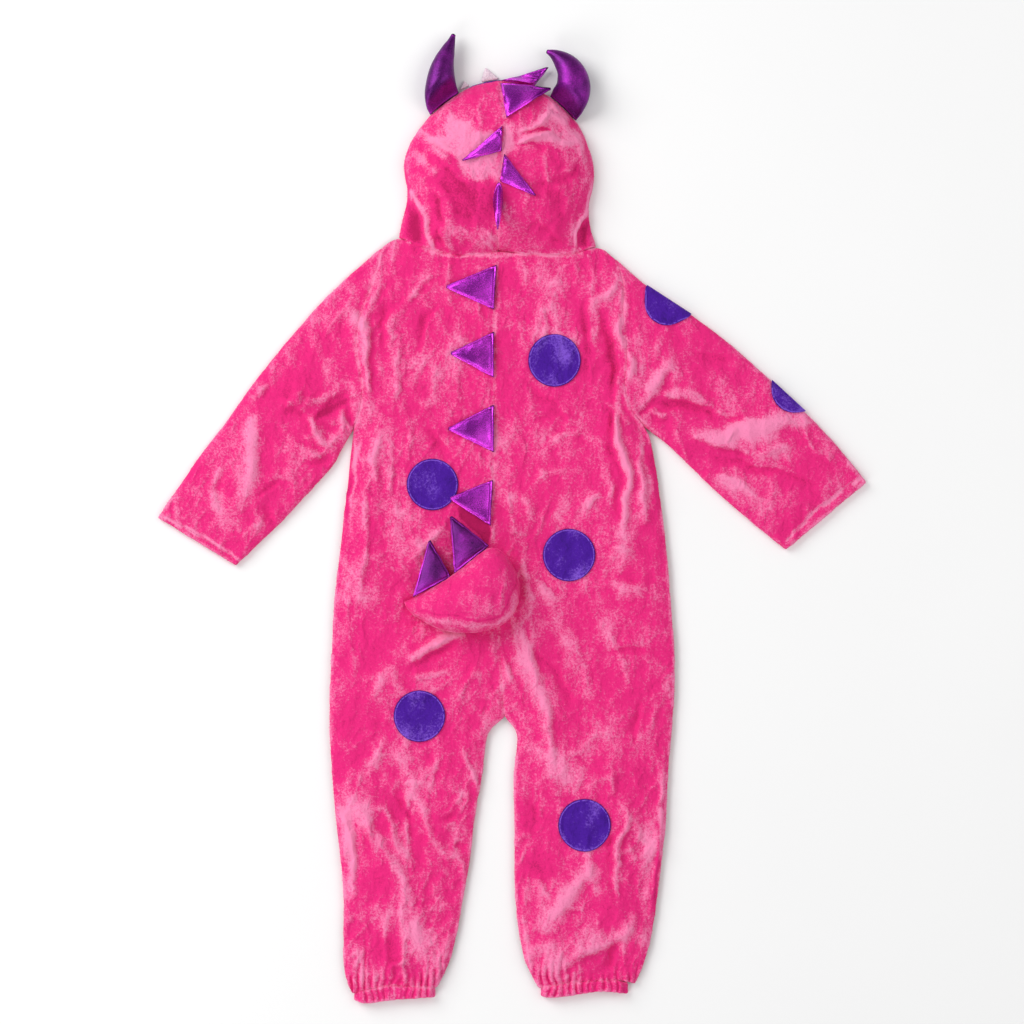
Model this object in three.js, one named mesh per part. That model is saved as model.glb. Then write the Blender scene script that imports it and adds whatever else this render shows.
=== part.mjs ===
// A toddler's monster costume: a hooded one-piece in plush, laid flat on its front with its back up.
// Millimetres. +Y runs from the ankles to the hood, +X to the right as seen from above, +Z is up.
// The lower layer lies on Z = 0 and the origin is under the middle of the laid-out garment.

import * as THREE from 'three';

// Cloth
const WALL = 3;
const SEAM_GAP = 0.3;
const NECK_GAP = 0.85;
const ANKLE_GAP = 0.8;
const LOWER_TOP = WALL;
const UPPER_FLOOR = LOWER_TOP + SEAM_GAP;
const APPLIQUE_THICKNESS = 1.1;
const HEM_EXTRA = 0.9;

// Height of the upper layer: a rounded edge, then a slow rise to the crown of the laid-out cloth
const EDGE_TOP = 4.7;
const EDGE_ROUND = { rise: 1.9, reach: 5 };
const CROWN = { rise: 3.1, reach: 45 };
const SEAM_DIP = { depth: 1.1, reach: 5 };
const LEAST_UPPER_WALL = 1.3;
const FOLD_FADE = 15;

// Hood
const HOOD_DOME = { rise: 21, reach: 58, fullness: 0.75 };
const HOOD_SEAM_DIP = 1.2;
const HOOD_SLOPE = { step: 1, steepest: 1.8 };
const HOOD_NECK = { bendShare: 0.12, mostInset: 0.6 };
const HOOD_EDGE = { fold: 2.6, under: 0.7 };
const FRONT_BAND = { width: 7, thickness: 3, peek: 1.5, aboveNeck: 4, crownPeek: 0.5 };
const BAND_MESH = { steps: 44, turn: 0.004 };
const BAND_CROWN = { squeeze: 0.97, shift: -0.3 };
const FACE_HEM = { width: 6, aim: 36, crownShift: 2 };

// Stuffed and cut pieces
const SPIKE_EDGE = 1.6;
const SPIKE_BELLY = 5;
const TOOTH_THICKNESS = 3;
const PLACKET = { width: 24, thickness: 1.2, top: 222, bottom: -110, steps: 8 };
const BLUNT_TIP = 0.05;
const TOOTH_STEPS = 3;
// How far round a point the cloth below is felt for, so that what lies there stays clear of it.
const CLEARANCE = {
  spikeBase: 1.5,
  spike: 5,
  finCrest: 4,
  finFoot: 7,
  tail: 6,
  tailSpike: 5,
  dot: 4,
};
const TAIL_BODY = { floor: 14.5, lift: 0.75, edge: 1.6, stations: 12 };
const TAIL_SPIKE_LIFT = { base: 23, tip: 5 };
const HORN = {
  around: 16,
  stations: 14,
  floor: 1,
  offEdge: 0.65,
  latestStart: 0.6,
  halvings: 18,
  sewnFlat: 0.3,
  plumpReach: 20,
};
const DOT = { bodySteps: 6, sleeveSteps: 5, pastFold: 2, reach: 0.985 };

// Mesh steps
const ROWS_BELOW_ARMS = 30;
const ROWS_BESIDE_ARMS = 10;
const PANEL_COLUMNS = 12;
const FRONT_COLUMNS = 6;
const CROTCH_ROWS = { steps: [-0.026, -0.017, -0.009, 0], reach: 0.03 };
const SLEEVE = { stations: 11, crowding: 0.9, hemFrom: 0.95, hemTo: 0.975, foldRound: 0.8 };
const HOOD_STATIONS = { count: 14, crowding: 0.9, crown: 0.999 };
const EDGE_CROWDING = 0.6;
const LEAST_STEP = 0.008;
const FRONT_ROW_STEP = 3;

const PINK = { color: 0xea2c7e, roughness: 0.95, metalness: 0 };
const INDIGO = { color: 0x4b159c, roughness: 0.9, metalness: 0 };
const PURPLE_FOIL = { color: 0x8a1c9a, roughness: 0.32, metalness: 0.75 };
const PALE_FELT = { color: 0xf0e2e8, roughness: 0.7, metalness: 0 };

// Tables: one row for each section, landmark or fold, under named columns

function table(columns, rows) {
  const names = columns.split(' ');
  return rows.map((row) => Object.fromEntries(names.map((name, index) => [name, row[index]])));
}

// Both armhole seams, by height.
const ARMHOLES = table('y left right', [
  [271, -130, 101],
  [259, -132, 103],
  [236, -139, 112],
  [205, -151, 110],
  [171, -156, 115],
  [136, -149, 112],
  [110, -151, 117],
  [88, -160, 137],
]);

// Both side edges of the trunk and legs, from underarm to ankle.
const SIDES = table('y left right', [
  [88, -160, 137],
  [69, -156, 140],
  [39, -163, 145],
  [9, -167, 149],
  [-21, -170, 153],
  [-81, -177, 158],
  [-141, -180, 162],
  [-186, -182, 161],
  [-246, -180, 156],
  [-306, -175, 153],
  [-366, -168, 146],
  [-411, -168, 140],
  [-441, -168, 133],
  [-456, -167, 127],
  [-474, -160, 117],
]);

// The centre-back seam from the neck down to the crotch, and the two inseams below it.
const BACK_SEAM = table('y x', [
  [267, -14],
  [219, -17],
  [69, -17.5],
  [-1, -20],
  [-100, -14],
  [-198, -8],
]);
const INSEAMS = table('y left right', [
  [-198, -8, -8],
  [-203, -15, -1],
  [-209, -21, 3],
  [-217, -26, 6],
  [-231, -27.5, 5],
  [-261, -31, 2],
  [-291, -37, 3],
  [-351, -44, 3],
  [-381, -50, 4],
  [-411, -55, 7],
  [-441, -62, 13],
  [-456, -68, 18],
  [-468, -76, 27],
]);

// Top edge of the back: left shoulder, neck seam, right shoulder.
const BACK_TOP = table('x y', [
  [-130, 271],
  [-113, 281],
  [-100, 275],
  [-82, 269],
  [-52, 263],
  [-29, 264],
  [-14, 267],
  [14, 264],
  [62, 264],
  [84, 272],
  [101, 260],
]);

// Where the leg cloth is gathered into each ankle casing, and the casing's lower edge.
const ANKLES = table('x seam hem', [
  [-160, -474, -480],
  [-147, -471, -484],
  [-125, -467, -481],
  [-100, -467.5, -479],
  [-76, -468, -478],
  [27, -468, -477],
  [42, -466, -478],
  [62, -463, -475.5],
  [88, -461.5, -472],
  [104, -461, -473],
  [117, -464, -475],
]);

// Upper and lower edges of the sleeves, from armhole to cuff.
const LEFT_OVERARM = table('x y', [
  [-143, 259],
  [-153, 251],
  [-175, 234],
  [-215, 189],
  [-240, 159],
  [-264, 129],
  [-283, 99],
  [-308, 69],
  [-329, 39],
  [-354, 2],
]);
const LEFT_UNDERARM = table('x y', [
  [-167, 80],
  [-178, 54],
  [-206, 24],
  [-234, -6],
  [-276, -46],
]);
const RIGHT_OVERARM = table('x y', [
  [112, 251],
  [132, 234],
  [157, 219],
  [201, 189],
  [236, 159],
  [268, 129],
  [301, 99],
  [329, 69],
  [354, 37],
]);
const RIGHT_UNDERARM = table('x y', [
  [151, 80],
  [178, 54],
  [208, 24],
  [244, -6],
  [274, -30],
]);

// Outline of the hood from each neck corner up to the crown.
const HOOD_LEFT = table('x y', [
  [-113, 281],
  [-110, 299],
  [-105, 315],
  [-102, 325],
  [-108, 345],
  [-109, 356],
  [-104, 371],
  [-95, 387],
  [-84, 401],
  [-72, 412],
  [-60, 421],
  [-44, 431],
  [-30, 435],
  [-12, 438],
]);
const HOOD_RIGHT = table('x y', [
  [84, 272],
  [80, 283],
  [75, 306],
  [78, 323],
  [83, 342],
  [81, 356],
  [76, 373],
  [66, 395],
  [51, 411],
  [37, 423],
  [21, 431],
  [3, 436],
  [-12, 438],
]);

// Near the neck the plump upper layer folds back inside the hood's outline.
const HOOD_FOLD_LEFT = table('x y', [[-83, 270], [-80, 279], [-87, 297], [-93, 310], [-101, 325]]);
const HOOD_FOLD_RIGHT = table('x y', [[63, 266], [62, 277], [72, 304], [79, 322], [82, 341]]);

// Hood centre seam from neck to crown, and the edges of the face opening underneath.
const HOOD_SEAM = table('x y', [
  [-14, 267],
  [-14, 300],
  [-13, 334],
  [-9, 364],
  [-6, 378],
  [-7, 400],
  [-12, 436],
]);
const FACE_EDGE_LEFT = table('x y', [[-34, 235], [-35, 300], [-38, 340], [-46, 385], [-54, 409]]);
const FACE_EDGE_RIGHT = table('x y', [[8, 235], [9, 300], [12, 340], [19, 385], [30, 405]]);
const FACE_HEM_START = { left: 0.78, right: 0.76 };
const HEM_LIFT_STRETCH = 0.1;

// Main folds of the laid-out cloth. A ridge has a positive height and a trough a negative one.
const FOLDS = table('height width path', [
  [4, 9, [[-163, 212], [-138, 183]]],
  [3.5, 8, [[-155, 183], [-143, 127]]],
  [3, 8, [[-115, 182], [-115, 116]]],
  [-2, 8, [[-86, 92], [-59, 58]]],
  [3, 8, [[80, 216], [107, 239]]],
  [4, 9, [[112, 185], [119, 157], [112, 124]]],
  [4.5, 9, [[101, 136], [106, 78], [113, 49], [113, 0], [106, -21]]],
  [-2, 9, [[94, 213], [99, 151], [97, 90]]],
  [-1.5, 8, [[74, 228], [74, 136]]],
  [4.5, 9, [[159, 157], [141, 129], [123, 105]]],
  [-2.5, 7, [[146, 118], [126, 92]]],
  [2.5, 9, [[150, 190], [141, 157]]],
  [2, 8, [[19, 113], [61, 122]]],
  [-1.5, 9, [[19, 52], [46, 87]]],
  [3, 9, [[-144, 43], [-147, -46], [-154, -73]]],
  [3.5, 9, [[-132, 82], [-143, 44]]],
  [3.5, 10, [[-106, -141], [-47, -114]]],
  [-2, 8, [[-93, -153], [-36, -123]]],
  [2.5, 8, [[-102, -160], [-61, -157]]],
  [3.5, 9, [[-58, -182], [-31, -146]]],
  [3, 9, [[-140, -180], [-120, -144]]],
  [4.5, 11, [[8, -98], [34, -189], [43, -260]]],
  [2.5, 8, [[-17, -122], [4, -176]]],
  [3.5, 9, [[131, 79], [129, 47], [136, -7]]],
  [3, 10, [[97, 52], [81, 8]]],
  [2.5, 8, [[99, -28], [124, -35]]],
  [3, 9, [[93, -64], [136, -71]]],
  [2.5, 8, [[12, -32], [19, -82]]],
  [2.5, 8, [[24, -64], [47, -80]]],
  [-2, 9, [[97, -158], [120, -153]]],
  [-2, 9, [[49, -167], [69, -196]]],
  [4.5, 11, [[-160, -272], [-149, -284], [-127, -323], [-105, -371], [-101, -404]]],
  [-2, 9, [[-113, -268], [-99, -309]]],
  [3, 9, [[-91, -308], [-50, -292]]],
  [-3, 8, [[-123, -464], [-121, -444]]],
  [2.5, 9, [[-110, -442], [-98, -450]]],
  [2.5, 9, [[95, -240], [101, -280]]],
  [4, 9, [[117, -284], [105, -339], [107, -389]]],
  [4.5, 13, [[81, -345], [57, -377], [30, -418]]],
  [4, 9, [[122, -402], [87, -418], [53, -432], [35, -450]]],
  [-2.5, 9, [[49, -391], [71, -399]]],
  [-3, 8, [[107, -420], [99, -452]]],
  [-2, 8, [[29, -268], [20, -315]]],
  [3, 9, [[-255, 111], [-263, 77], [-264, 56], [-274, 25], [-276, 8]]],
  [2.5, 9, [[-211, 130], [-227, 104]]],
  [-2.5, 8, [[-211, 101], [-204, 83], [-191, 68]]],
  [3.5, 8, [[-198, 104], [-196, 90], [-182, 78]]],
  [-3, 8, [[-190, 112], [-166, 128]]],
  [-1.5, 8, [[-232, 83], [-206, 66]]],
  [-1.5, 8, [[178, 166], [220, 157]]],
  [-3, 9, [[146, 122], [182, 111], [211, 102]]],
  [4, 13, [[176, 84], [220, 80], [250, 99], [278, 101]]],
  [-2, 8, [[182, 66], [220, 57], [241, 50]]],
]);

// Dots sewn on the body, and the two on the right sleeve that the overarm fold cuts.
const BODY_DOTS = table('name x y radius', [
  ['dot_back_upper', 42.5, 158.5, 26.5],
  ['dot_back_left', -79.5, 34.5, 26],
  ['dot_back_lower', 57, -36, 26.5],
  ['dot_leg_left', -92.5, -197, 26],
  ['dot_leg_right', 72.5, -306, 26.5],
]);
const SLEEVE_DOTS = table('name x y radius edgeX edgeY endX endY', [
  ['dot_sleeve_upper', 157, 219, 27, 132, 234, 201, 189],
  ['dot_sleeve_lower', 284, 131, 27, 236, 159, 301, 99],
]);

// Flat spikes: two base corners, the tip, and how far the tip lifts off what it lies on.
const BACK_SPIKES = table('name ax ay bx by tipX tipY lift', [
  ['back_spike_1', -15.5, 254, -18, 209.5, -68, 232, 2.5],
  ['back_spike_2', -18.3, 187, -18.3, 141.5, -63, 165.5, 2.5],
  ['back_spike_3', -18.3, 114, -18.3, 67, -65.5, 90, 2.5],
  ['back_spike_4', -19.3, 39, -21.5, -6.5, -64, 21, 2.5],
]);
const HOOD_SPIKES = table('name ax ay bx by tipX tipY lift', [
  ['hood_spike_1', -11, 438, 22, 433, 37, 452.5, 2],
  ['hood_spike_2', -11.3, 435, -5.5, 399, 41, 431, 2],
  ['hood_spike_3', -9.8, 390.5, -10.2, 366, -51, 355.5, 2],
  ['hood_spike_4', -7.6, 363, -11.8, 336, 25, 320.5, 2],
]);
const HOOD_FIN = { name: 'hood_spike_5', baseTop: 335, baseBottom: 301, tipY: 286, rise: 23, belly: 9 };
const TAIL_SPIKES = table('name ax ay bx by tipX tipY', [
  ['tail_spike_1', -61, -57.5, -98.6, -77.5, -82.5, -19.5],
  ['tail_spike_2', -22.7, -26.5, -57.5, -54, -62, 4.5],
]);

// Stuffed tail, from its tip to its rounded root: the two edges and the half height at each section.
const TAIL = table('topX topY lowX lowY belly', [
  [-107, -83, -106, -86, 3],
  [-101, -80.5, -100, -93, 8],
  [-85, -72, -84, -104, 13],
  [-60, -57.5, -62, -112, 17],
  [-41, -43, -41, -113, 19],
  [-23, -28, -20, -109, 19],
  [-9, -33, -5, -102, 17],
  [2, -49, 4, -89, 12],
  [7, -64, 7, -74, 5],
]);

// Stuffed horns: the middle line from inside the hood's edge to the tip.
const HORN_LEFT = table('x y z halfWidth halfHeight', [
  [-56, 397, 25, 12, 5],
  [-61, 404, 20, 15.5, 10],
  [-66, 412, 17, 17.5, 14],
  [-70, 421, 16, 18, 14],
  [-71, 435, 15, 15.5, 13],
  [-69.5, 451, 13.5, 12.3, 11],
  [-64.5, 467, 12, 7.5, 7.5],
  [-61, 475.5, 11.5, 4.3, 4.5],
  [-58.5, 483.5, 11, 1.2, 1.4],
]);
const HORN_RIGHT = table('x y z halfWidth halfHeight', [
  [38, 394, 25, 12, 5],
  [45, 402, 20, 15.5, 10],
  [51, 410, 17, 17.5, 14],
  [58, 421, 16, 19, 14],
  [61.5, 434, 15, 17.8, 13.5],
  [57.5, 449, 14, 14, 12],
  [49, 459, 12.5, 9.5, 9],
  [41.5, 464.5, 12, 5, 5],
  [35.5, 467, 11.5, 1.2, 1.4],
]);

// Flat teeth on the hood's front edge.
const TEETH = table('name ax ay bx by tipX tipY', [
  ['tooth_large', -31, 437.6, -13, 440.6, -26.5, 452.5],
  ['tooth_small', -52.5, 429.6, -43, 434, -48, 439],
]);

// Plain mathematics

const lerp = THREE.MathUtils.lerp;
const clamp = THREE.MathUtils.clamp;

function spaced(count) {
  return Array.from({ length: count + 1 }, (unused, index) => index / count);
}

function roundedRise(distance, reach) {
  const share = clamp(distance / reach, 0, 1);
  return share * (2 - share);
}

function smoothStep(from, to, at) {
  const share = clamp((at - from) / (to - from), 0, 1);
  return share * share * (3 - 2 * share);
}

// A smooth curve through one column of a table, as a function of the key column.
function columnCurve(rows, key, column) {
  const sorted = [...rows].sort((first, second) => first[key] - second[key]);
  const slopes = sorted.map((row, index) => {
    const before = sorted[Math.max(index - 1, 0)];
    const after = sorted[Math.min(index + 1, sorted.length - 1)];
    return (after[column] - before[column]) / (after[key] - before[key]);
  });
  return (at) => {
    if (at <= sorted[0][key]) {
      return sorted[0][column];
    }
    const next = sorted.findIndex((row) => row[key] > at);
    if (next < 0) {
      return sorted[sorted.length - 1][column];
    }
    const [low, high] = [sorted[next - 1], sorted[next]];
    const span = high[key] - low[key];
    const t = (at - low[key]) / span;
    const [t2, t3] = [t * t, t * t * t];
    return (2 * t3 - 3 * t2 + 1) * low[column] + (t3 - 2 * t2 + t) * span * slopes[next - 1]
      + (3 * t2 - 2 * t3) * high[column] + (t3 - t2) * span * slopes[next];
  };
}

// A route through points, read by its share of the whole length.
class Route {
  constructor(points) {
    this.points = points.map((point) => new THREE.Vector2(point.x, point.y));
    this.lengths = [0];
    for (let index = 1; index < this.points.length; index += 1) {
      this.lengths.push(this.lengths[index - 1] + this.points[index].distanceTo(this.points[index - 1]));
    }
    this.total = this.lengths[this.lengths.length - 1];
  }

  at(share) {
    const target = clamp(share, 0, 1) * this.total;
    const found = this.lengths.findIndex((length) => length >= target);
    const next = Math.max(found, 1);
    const span = this.lengths[next] - this.lengths[next - 1];
    const part = (target - this.lengths[next - 1]) / span;
    return this.points[next - 1].clone().lerp(this.points[next], part);
  }

  rounded(count) {
    const spline = new THREE.SplineCurve(this.points);
    return new Route(spline.getSpacedPoints(count));
  }
}

function distanceToSegment(x, y, start, end) {
  const [dx, dy] = [end.x - start.x, end.y - start.y];
  const share = clamp(((x - start.x) * dx + (y - start.y) * dy) / (dx * dx + dy * dy), 0, 1);
  return Math.hypot(x - start.x - share * dx, y - start.y - share * dy);
}

function distanceToPath(x, y, path) {
  let nearest = Infinity;
  for (let index = 1; index < path.length; index += 1) {
    nearest = Math.min(nearest, distanceToSegment(x, y, path[index - 1], path[index]));
  }
  return nearest;
}

function isInside(x, y, outline) {
  let inside = false;
  outline.forEach((point, index) => {
    const other = outline[(index + 1) % outline.length];
    const crosses = (point.y > y) !== (other.y > y);
    if (crosses && x < ((other.x - point.x) * (y - point.y)) / (other.y - point.y) + point.x) {
      inside = !inside;
    }
  });
  return inside;
}

function depthInside(x, y, outline) {
  if (!isInside(x, y, outline)) {
    return 0;
  }
  return distanceToPath(x, y, [...outline, outline[0]]);
}

// Curves of the cut

const armholeX = {
  left: columnCurve(ARMHOLES, 'y', 'left'),
  right: columnCurve(ARMHOLES, 'y', 'right'),
};
const sideX = { left: columnCurve(SIDES, 'y', 'left'), right: columnCurve(SIDES, 'y', 'right') };
const seamX = columnCurve(BACK_SEAM, 'y', 'x');
const inseamX = { left: columnCurve(INSEAMS, 'y', 'left'), right: columnCurve(INSEAMS, 'y', 'right') };
const backTopY = columnCurve(BACK_TOP, 'x', 'y');
const ankleSeamY = columnCurve(ANKLES, 'x', 'seam');
const ankleHemY = columnCurve(ANKLES, 'x', 'hem');
const UNDERARM_Y = SIDES[0].y;
const ANKLE_SIDE_Y = SIDES[SIDES.length - 1].y;
const ANKLE_MIDDLE_Y = INSEAMS[INSEAMS.length - 1].y;
const CROTCH_Y = INSEAMS[0].y;
const SHOULDER_Y = { left: BACK_TOP[0].y, right: BACK_TOP[BACK_TOP.length - 1].y };
const SHOULDER_X = { left: BACK_TOP[0].x, right: BACK_TOP[BACK_TOP.length - 1].x };
const NECK_CORNER = { left: HOOD_LEFT[0], right: HOOD_RIGHT[0] };
const NECK_MIDDLE = HOOD_SEAM[0];
const FRONT_NECK_Y = FACE_EDGE_LEFT[0].y;

function outerX(side, y) {
  return y > UNDERARM_Y ? armholeX[side](Math.min(y, SHOULDER_Y[side])) : sideX[side](y);
}

function middleX(side, y) {
  return y > CROTCH_Y ? seamX(y) : inseamX[side](y);
}

// The front neckline hangs lower than the back one, in a shallow curve between the neck corners.
function frontNeckY(x) {
  const corner = x < NECK_MIDDLE.x ? NECK_CORNER.left : NECK_CORNER.right;
  const share = clamp((x - NECK_MIDDLE.x) / (corner.x - NECK_MIDDLE.x), 0, 1);
  return lerp(FRONT_NECK_Y, corner.y, share * share * (2 - share));
}

function frontTopY(x) {
  const beyondNeck = x < NECK_CORNER.left.x || x > NECK_CORNER.right.x;
  return beyondNeck ? backTopY(x) : frontNeckY(x);
}

// Outline of the whole garment, hood included
const inseamPoints = (side) => INSEAMS.map((row) => ({ x: row[side], y: row.y }));
const sidePoints = (side) => SIDES.map((row) => ({ x: row[side], y: row.y }));
const anklePoints = (low, high) => ANKLES.filter((row) => row.x >= low && row.x <= high)
  .map((row) => ({ x: row.x, y: row.hem }));
const GARMENT_OUTLINE = [
  ...HOOD_LEFT,
  ...[...HOOD_RIGHT].reverse().slice(1),
  { x: SHOULDER_X.right, y: SHOULDER_Y.right },
  ...RIGHT_OVERARM,
  ...[...RIGHT_UNDERARM].reverse(),
  ...sidePoints('right'),
  ...anklePoints(0, SIDES[0].right).reverse(),
  ...inseamPoints('right').reverse(),
  ...inseamPoints('left').slice(1),
  ...anklePoints(SIDES[0].left, 0).reverse(),
  ...sidePoints('left').reverse(),
  ...LEFT_UNDERARM,
  ...[...LEFT_OVERARM].reverse(),
  { x: SHOULDER_X.left, y: SHOULDER_Y.left },
];
const DOME_OUTLINE = [
  ...HOOD_FOLD_LEFT,
  ...HOOD_LEFT.slice(4),
  ...[...HOOD_RIGHT].reverse().slice(1, -4),
  ...[...HOOD_FOLD_RIGHT].reverse(),
];
const SEAM_LINES = [
  BACK_SEAM,
  ARMHOLES.map((row) => ({ x: row.left, y: row.y })),
  ARMHOLES.map((row) => ({ x: row.right, y: row.y })),
  BACK_TOP.slice(1, -1),
];
const FOLD_PATHS = FOLDS.map(({ height, width, path }) => ({
  height,
  width,
  path: path.map(([x, y]) => ({ x, y })),
}));

function foldHeight(x, y) {
  let height = 0;
  FOLD_PATHS.forEach((fold) => {
    const distance = distanceToPath(x, y, fold.path);
    height += fold.height * Math.exp(-((distance / fold.width) ** 2));
  });
  return height;
}

function seamDip(x, y) {
  const nearest = Math.min(...SEAM_LINES.map((line) => distanceToPath(x, y, line)));
  return SEAM_DIP.depth * Math.exp(-((nearest / SEAM_DIP.reach) ** 2));
}

// Upper face of the top layer over the body, sleeves and legs.
function clothTop(x, y) {
  const depth = depthInside(x, y, GARMENT_OUTLINE);
  const rise = EDGE_ROUND.rise * roundedRise(depth, EDGE_ROUND.reach)
    + CROWN.rise * roundedRise(depth, CROWN.reach);
  const folds = foldHeight(x, y) * roundedRise(depth, FOLD_FADE);
  return Math.max(EDGE_TOP + rise + folds - seamDip(x, y), UPPER_FLOOR + LEAST_UPPER_WALL);
}

function clothUnder(top) {
  return Math.max(UPPER_FLOOR, top - WALL);
}

// Upper face of the plump hood.
function hoodTop(x, y) {
  const depth = depthInside(x, y, DOME_OUTLINE);
  const dome = HOOD_DOME.rise * roundedRise(depth, HOOD_DOME.reach) ** HOOD_DOME.fullness;
  const seam = HOOD_SEAM_DIP * Math.exp(-((distanceToPath(x, y, HOOD_SEAM) / SEAM_DIP.reach) ** 2));
  return clothTop(x, y) + dome - seam;
}

// The wall is offset straight down, so on a slope it is cut by more than its thickness.
function hoodUnder(x, y) {
  const { step, steepest } = HOOD_SLOPE;
  const slopeX = (hoodTop(x + step, y) - hoodTop(x - step, y)) / (2 * step);
  const slopeY = (hoodTop(x, y + step) - hoodTop(x, y - step)) / (2 * step);
  const drop = WALL * Math.min(Math.hypot(1, slopeX, slopeY), steepest);
  return Math.max(UPPER_FLOOR, hoodTop(x, y) - drop);
}

// Closed bodies from grids of points

function closedBody(positions, index, material) {
  const geometry = new THREE.BufferGeometry();
  geometry.setAttribute('position', new THREE.Float32BufferAttribute(positions, 3));
  let volume = 0;
  const corner = (at) => new THREE.Vector3().fromArray(positions, at * 3);
  for (let face = 0; face < index.length; face += 3) {
    const [a, b, c] = [corner(index[face]), corner(index[face + 1]), corner(index[face + 2])];
    volume += a.dot(b.cross(c));
  }
  geometry.setIndex(volume < 0 ? index.reverse() : index);
  geometry.computeVertexNormals();
  return new THREE.Mesh(geometry, new THREE.MeshStandardMaterial(material));
}

// A wall between two grids of points of the same size. Around is true where each row closes on itself.
function wallBetween(outer, inner, material, around = false) {
  const rowCount = outer.length;
  const columnCount = outer[0].length;
  const positions = [...outer.flat(), ...inner.flat()].flatMap((point) => point.toArray());
  const index = [];
  const half = rowCount * columnCount;
  const at = (side, row, column) => side * half + row * columnCount + (column % columnCount);
  const quad = (a, b, c, d) => index.push(a, b, c, a, c, d);
  const lastColumn = around ? columnCount : columnCount - 1;
  for (let row = 0; row < rowCount - 1; row += 1) {
    for (let column = 0; column < lastColumn; column += 1) {
      quad(at(0, row, column), at(0, row, column + 1), at(0, row + 1, column + 1), at(0, row + 1, column));
      quad(at(1, row, column), at(1, row + 1, column), at(1, row + 1, column + 1), at(1, row, column + 1));
    }
  }
  for (let column = 0; column < lastColumn; column += 1) {
    quad(at(0, 0, column), at(1, 0, column), at(1, 0, column + 1), at(0, 0, column + 1));
    const end = rowCount - 1;
    quad(at(0, end, column), at(0, end, column + 1), at(1, end, column + 1), at(1, end, column));
  }
  if (!around) {
    for (let row = 0; row < rowCount - 1; row += 1) {
      quad(at(0, row, 0), at(0, row + 1, 0), at(1, row + 1, 0), at(1, row, 0));
      const end = columnCount - 1;
      quad(at(0, row, end), at(1, row, end), at(1, row + 1, end), at(0, row + 1, end));
    }
  }
  return closedBody(positions, index, material);
}

// The faceted top of pieces already made, for what lies on them.
class RestingPlace {
  constructor() {
    this.faces = [];
  }

  add(grid) {
    for (let row = 0; row < grid.length - 1; row += 1) {
      for (let column = 0; column < grid[0].length - 1; column += 1) {
        const [a, b] = [grid[row][column], grid[row][column + 1]];
        const [c, d] = [grid[row + 1][column + 1], grid[row + 1][column]];
        this.faces.push([a, b, c], [a, c, d]);
      }
    }
  }

  heightAt(x, y) {
    let highest = UPPER_FLOOR;
    this.faces.forEach(([a, b, c]) => {
      const area = (b.x - a.x) * (c.y - a.y) - (c.x - a.x) * (b.y - a.y);
      const shareB = ((x - a.x) * (c.y - a.y) - (c.x - a.x) * (y - a.y)) / area;
      const shareC = ((b.x - a.x) * (y - a.y) - (x - a.x) * (b.y - a.y)) / area;
      if (shareB >= 0 && shareC >= 0 && shareB + shareC <= 1) {
        highest = Math.max(highest, a.z + shareB * (b.z - a.z) + shareC * (c.z - a.z));
      }
    });
    return highest;
  }

  // Highest point near a place, so that a coarse piece lying there stays clear of the cloth.
  above(x, y, reach) {
    const around = spaced(6).slice(1).map((share) => {
      const angle = share * 2 * Math.PI;
      return this.heightAt(x + reach * Math.cos(angle), y + reach * Math.sin(angle));
    });
    return Math.max(this.heightAt(x, y), ...around) + SEAM_GAP;
  }
}

const backCloth = new RestingPlace();
const hoodCloth = new RestingPlace();
const costume = new THREE.Group();

function addPiece(name, mesh) {
  mesh.name = name;
  costume.add(mesh);
}

// Trunk and leg panels

function crowdEdges(share) {
  return share - (EDGE_CROWDING * Math.sin(2 * Math.PI * share)) / (2 * Math.PI);
}

function crotchShare() {
  return (CROTCH_Y - ANKLE_MIDDLE_Y) / (NECK_MIDDLE.y - ANKLE_MIDDLE_Y);
}

function rowShares(side) {
  const underarm = (UNDERARM_Y - ANKLE_SIDE_Y) / (SHOULDER_Y[side] - ANKLE_SIDE_Y);
  const crotchRows = CROTCH_ROWS.steps.map((step) => crotchShare() + step);
  const below = spaced(ROWS_BELOW_ARMS).map((share) => share * underarm)
    .filter((share) => crotchRows.every((row) => Math.abs(share - row) > LEAST_STEP));
  const beside = spaced(ROWS_BESIDE_ARMS).slice(1).map((share) => lerp(underarm, 1, share));
  return [...below, ...crotchRows, ...beside].sort((first, second) => first - second);
}

// Place on a panel: across runs from the side edge to the middle, up from the ankle to the neck.
function panelPlace(side, topY, across, up) {
  const toMiddle = side === 'left' ? -SEAM_GAP / 2 : SEAM_GAP / 2;
  const ankleX = lerp(outerX(side, ANKLE_SIDE_Y), middleX(side, ANKLE_MIDDLE_Y), across);
  const topX = lerp(SHOULDER_X[side], NECK_MIDDLE.x, across);
  const y = lerp(ankleSeamY(ankleX), topY(topX), up);
  const inner = middleX(side, y) + toMiddle;
  return new THREE.Vector2(lerp(outerX(side, y), inner, across), y);
}

const SIDE_NAMES = ['left', 'right'];

SIDE_NAMES.forEach((side) => {
  const columns = spaced(PANEL_COLUMNS).map(crowdEdges);
  const top = rowShares(side).map((up) => columns.map((across) => {
    const { x, y } = panelPlace(side, backTopY, across, up);
    return new THREE.Vector3(x, y, clothTop(x, y));
  }));
  const under = top.map((row) => row.map(({ x, y, z }) => new THREE.Vector3(x, y, clothUnder(z))));
  backCloth.add(top);
  addPiece(`back_${side}`, wallBetween(top, under, PINK));
});

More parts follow.
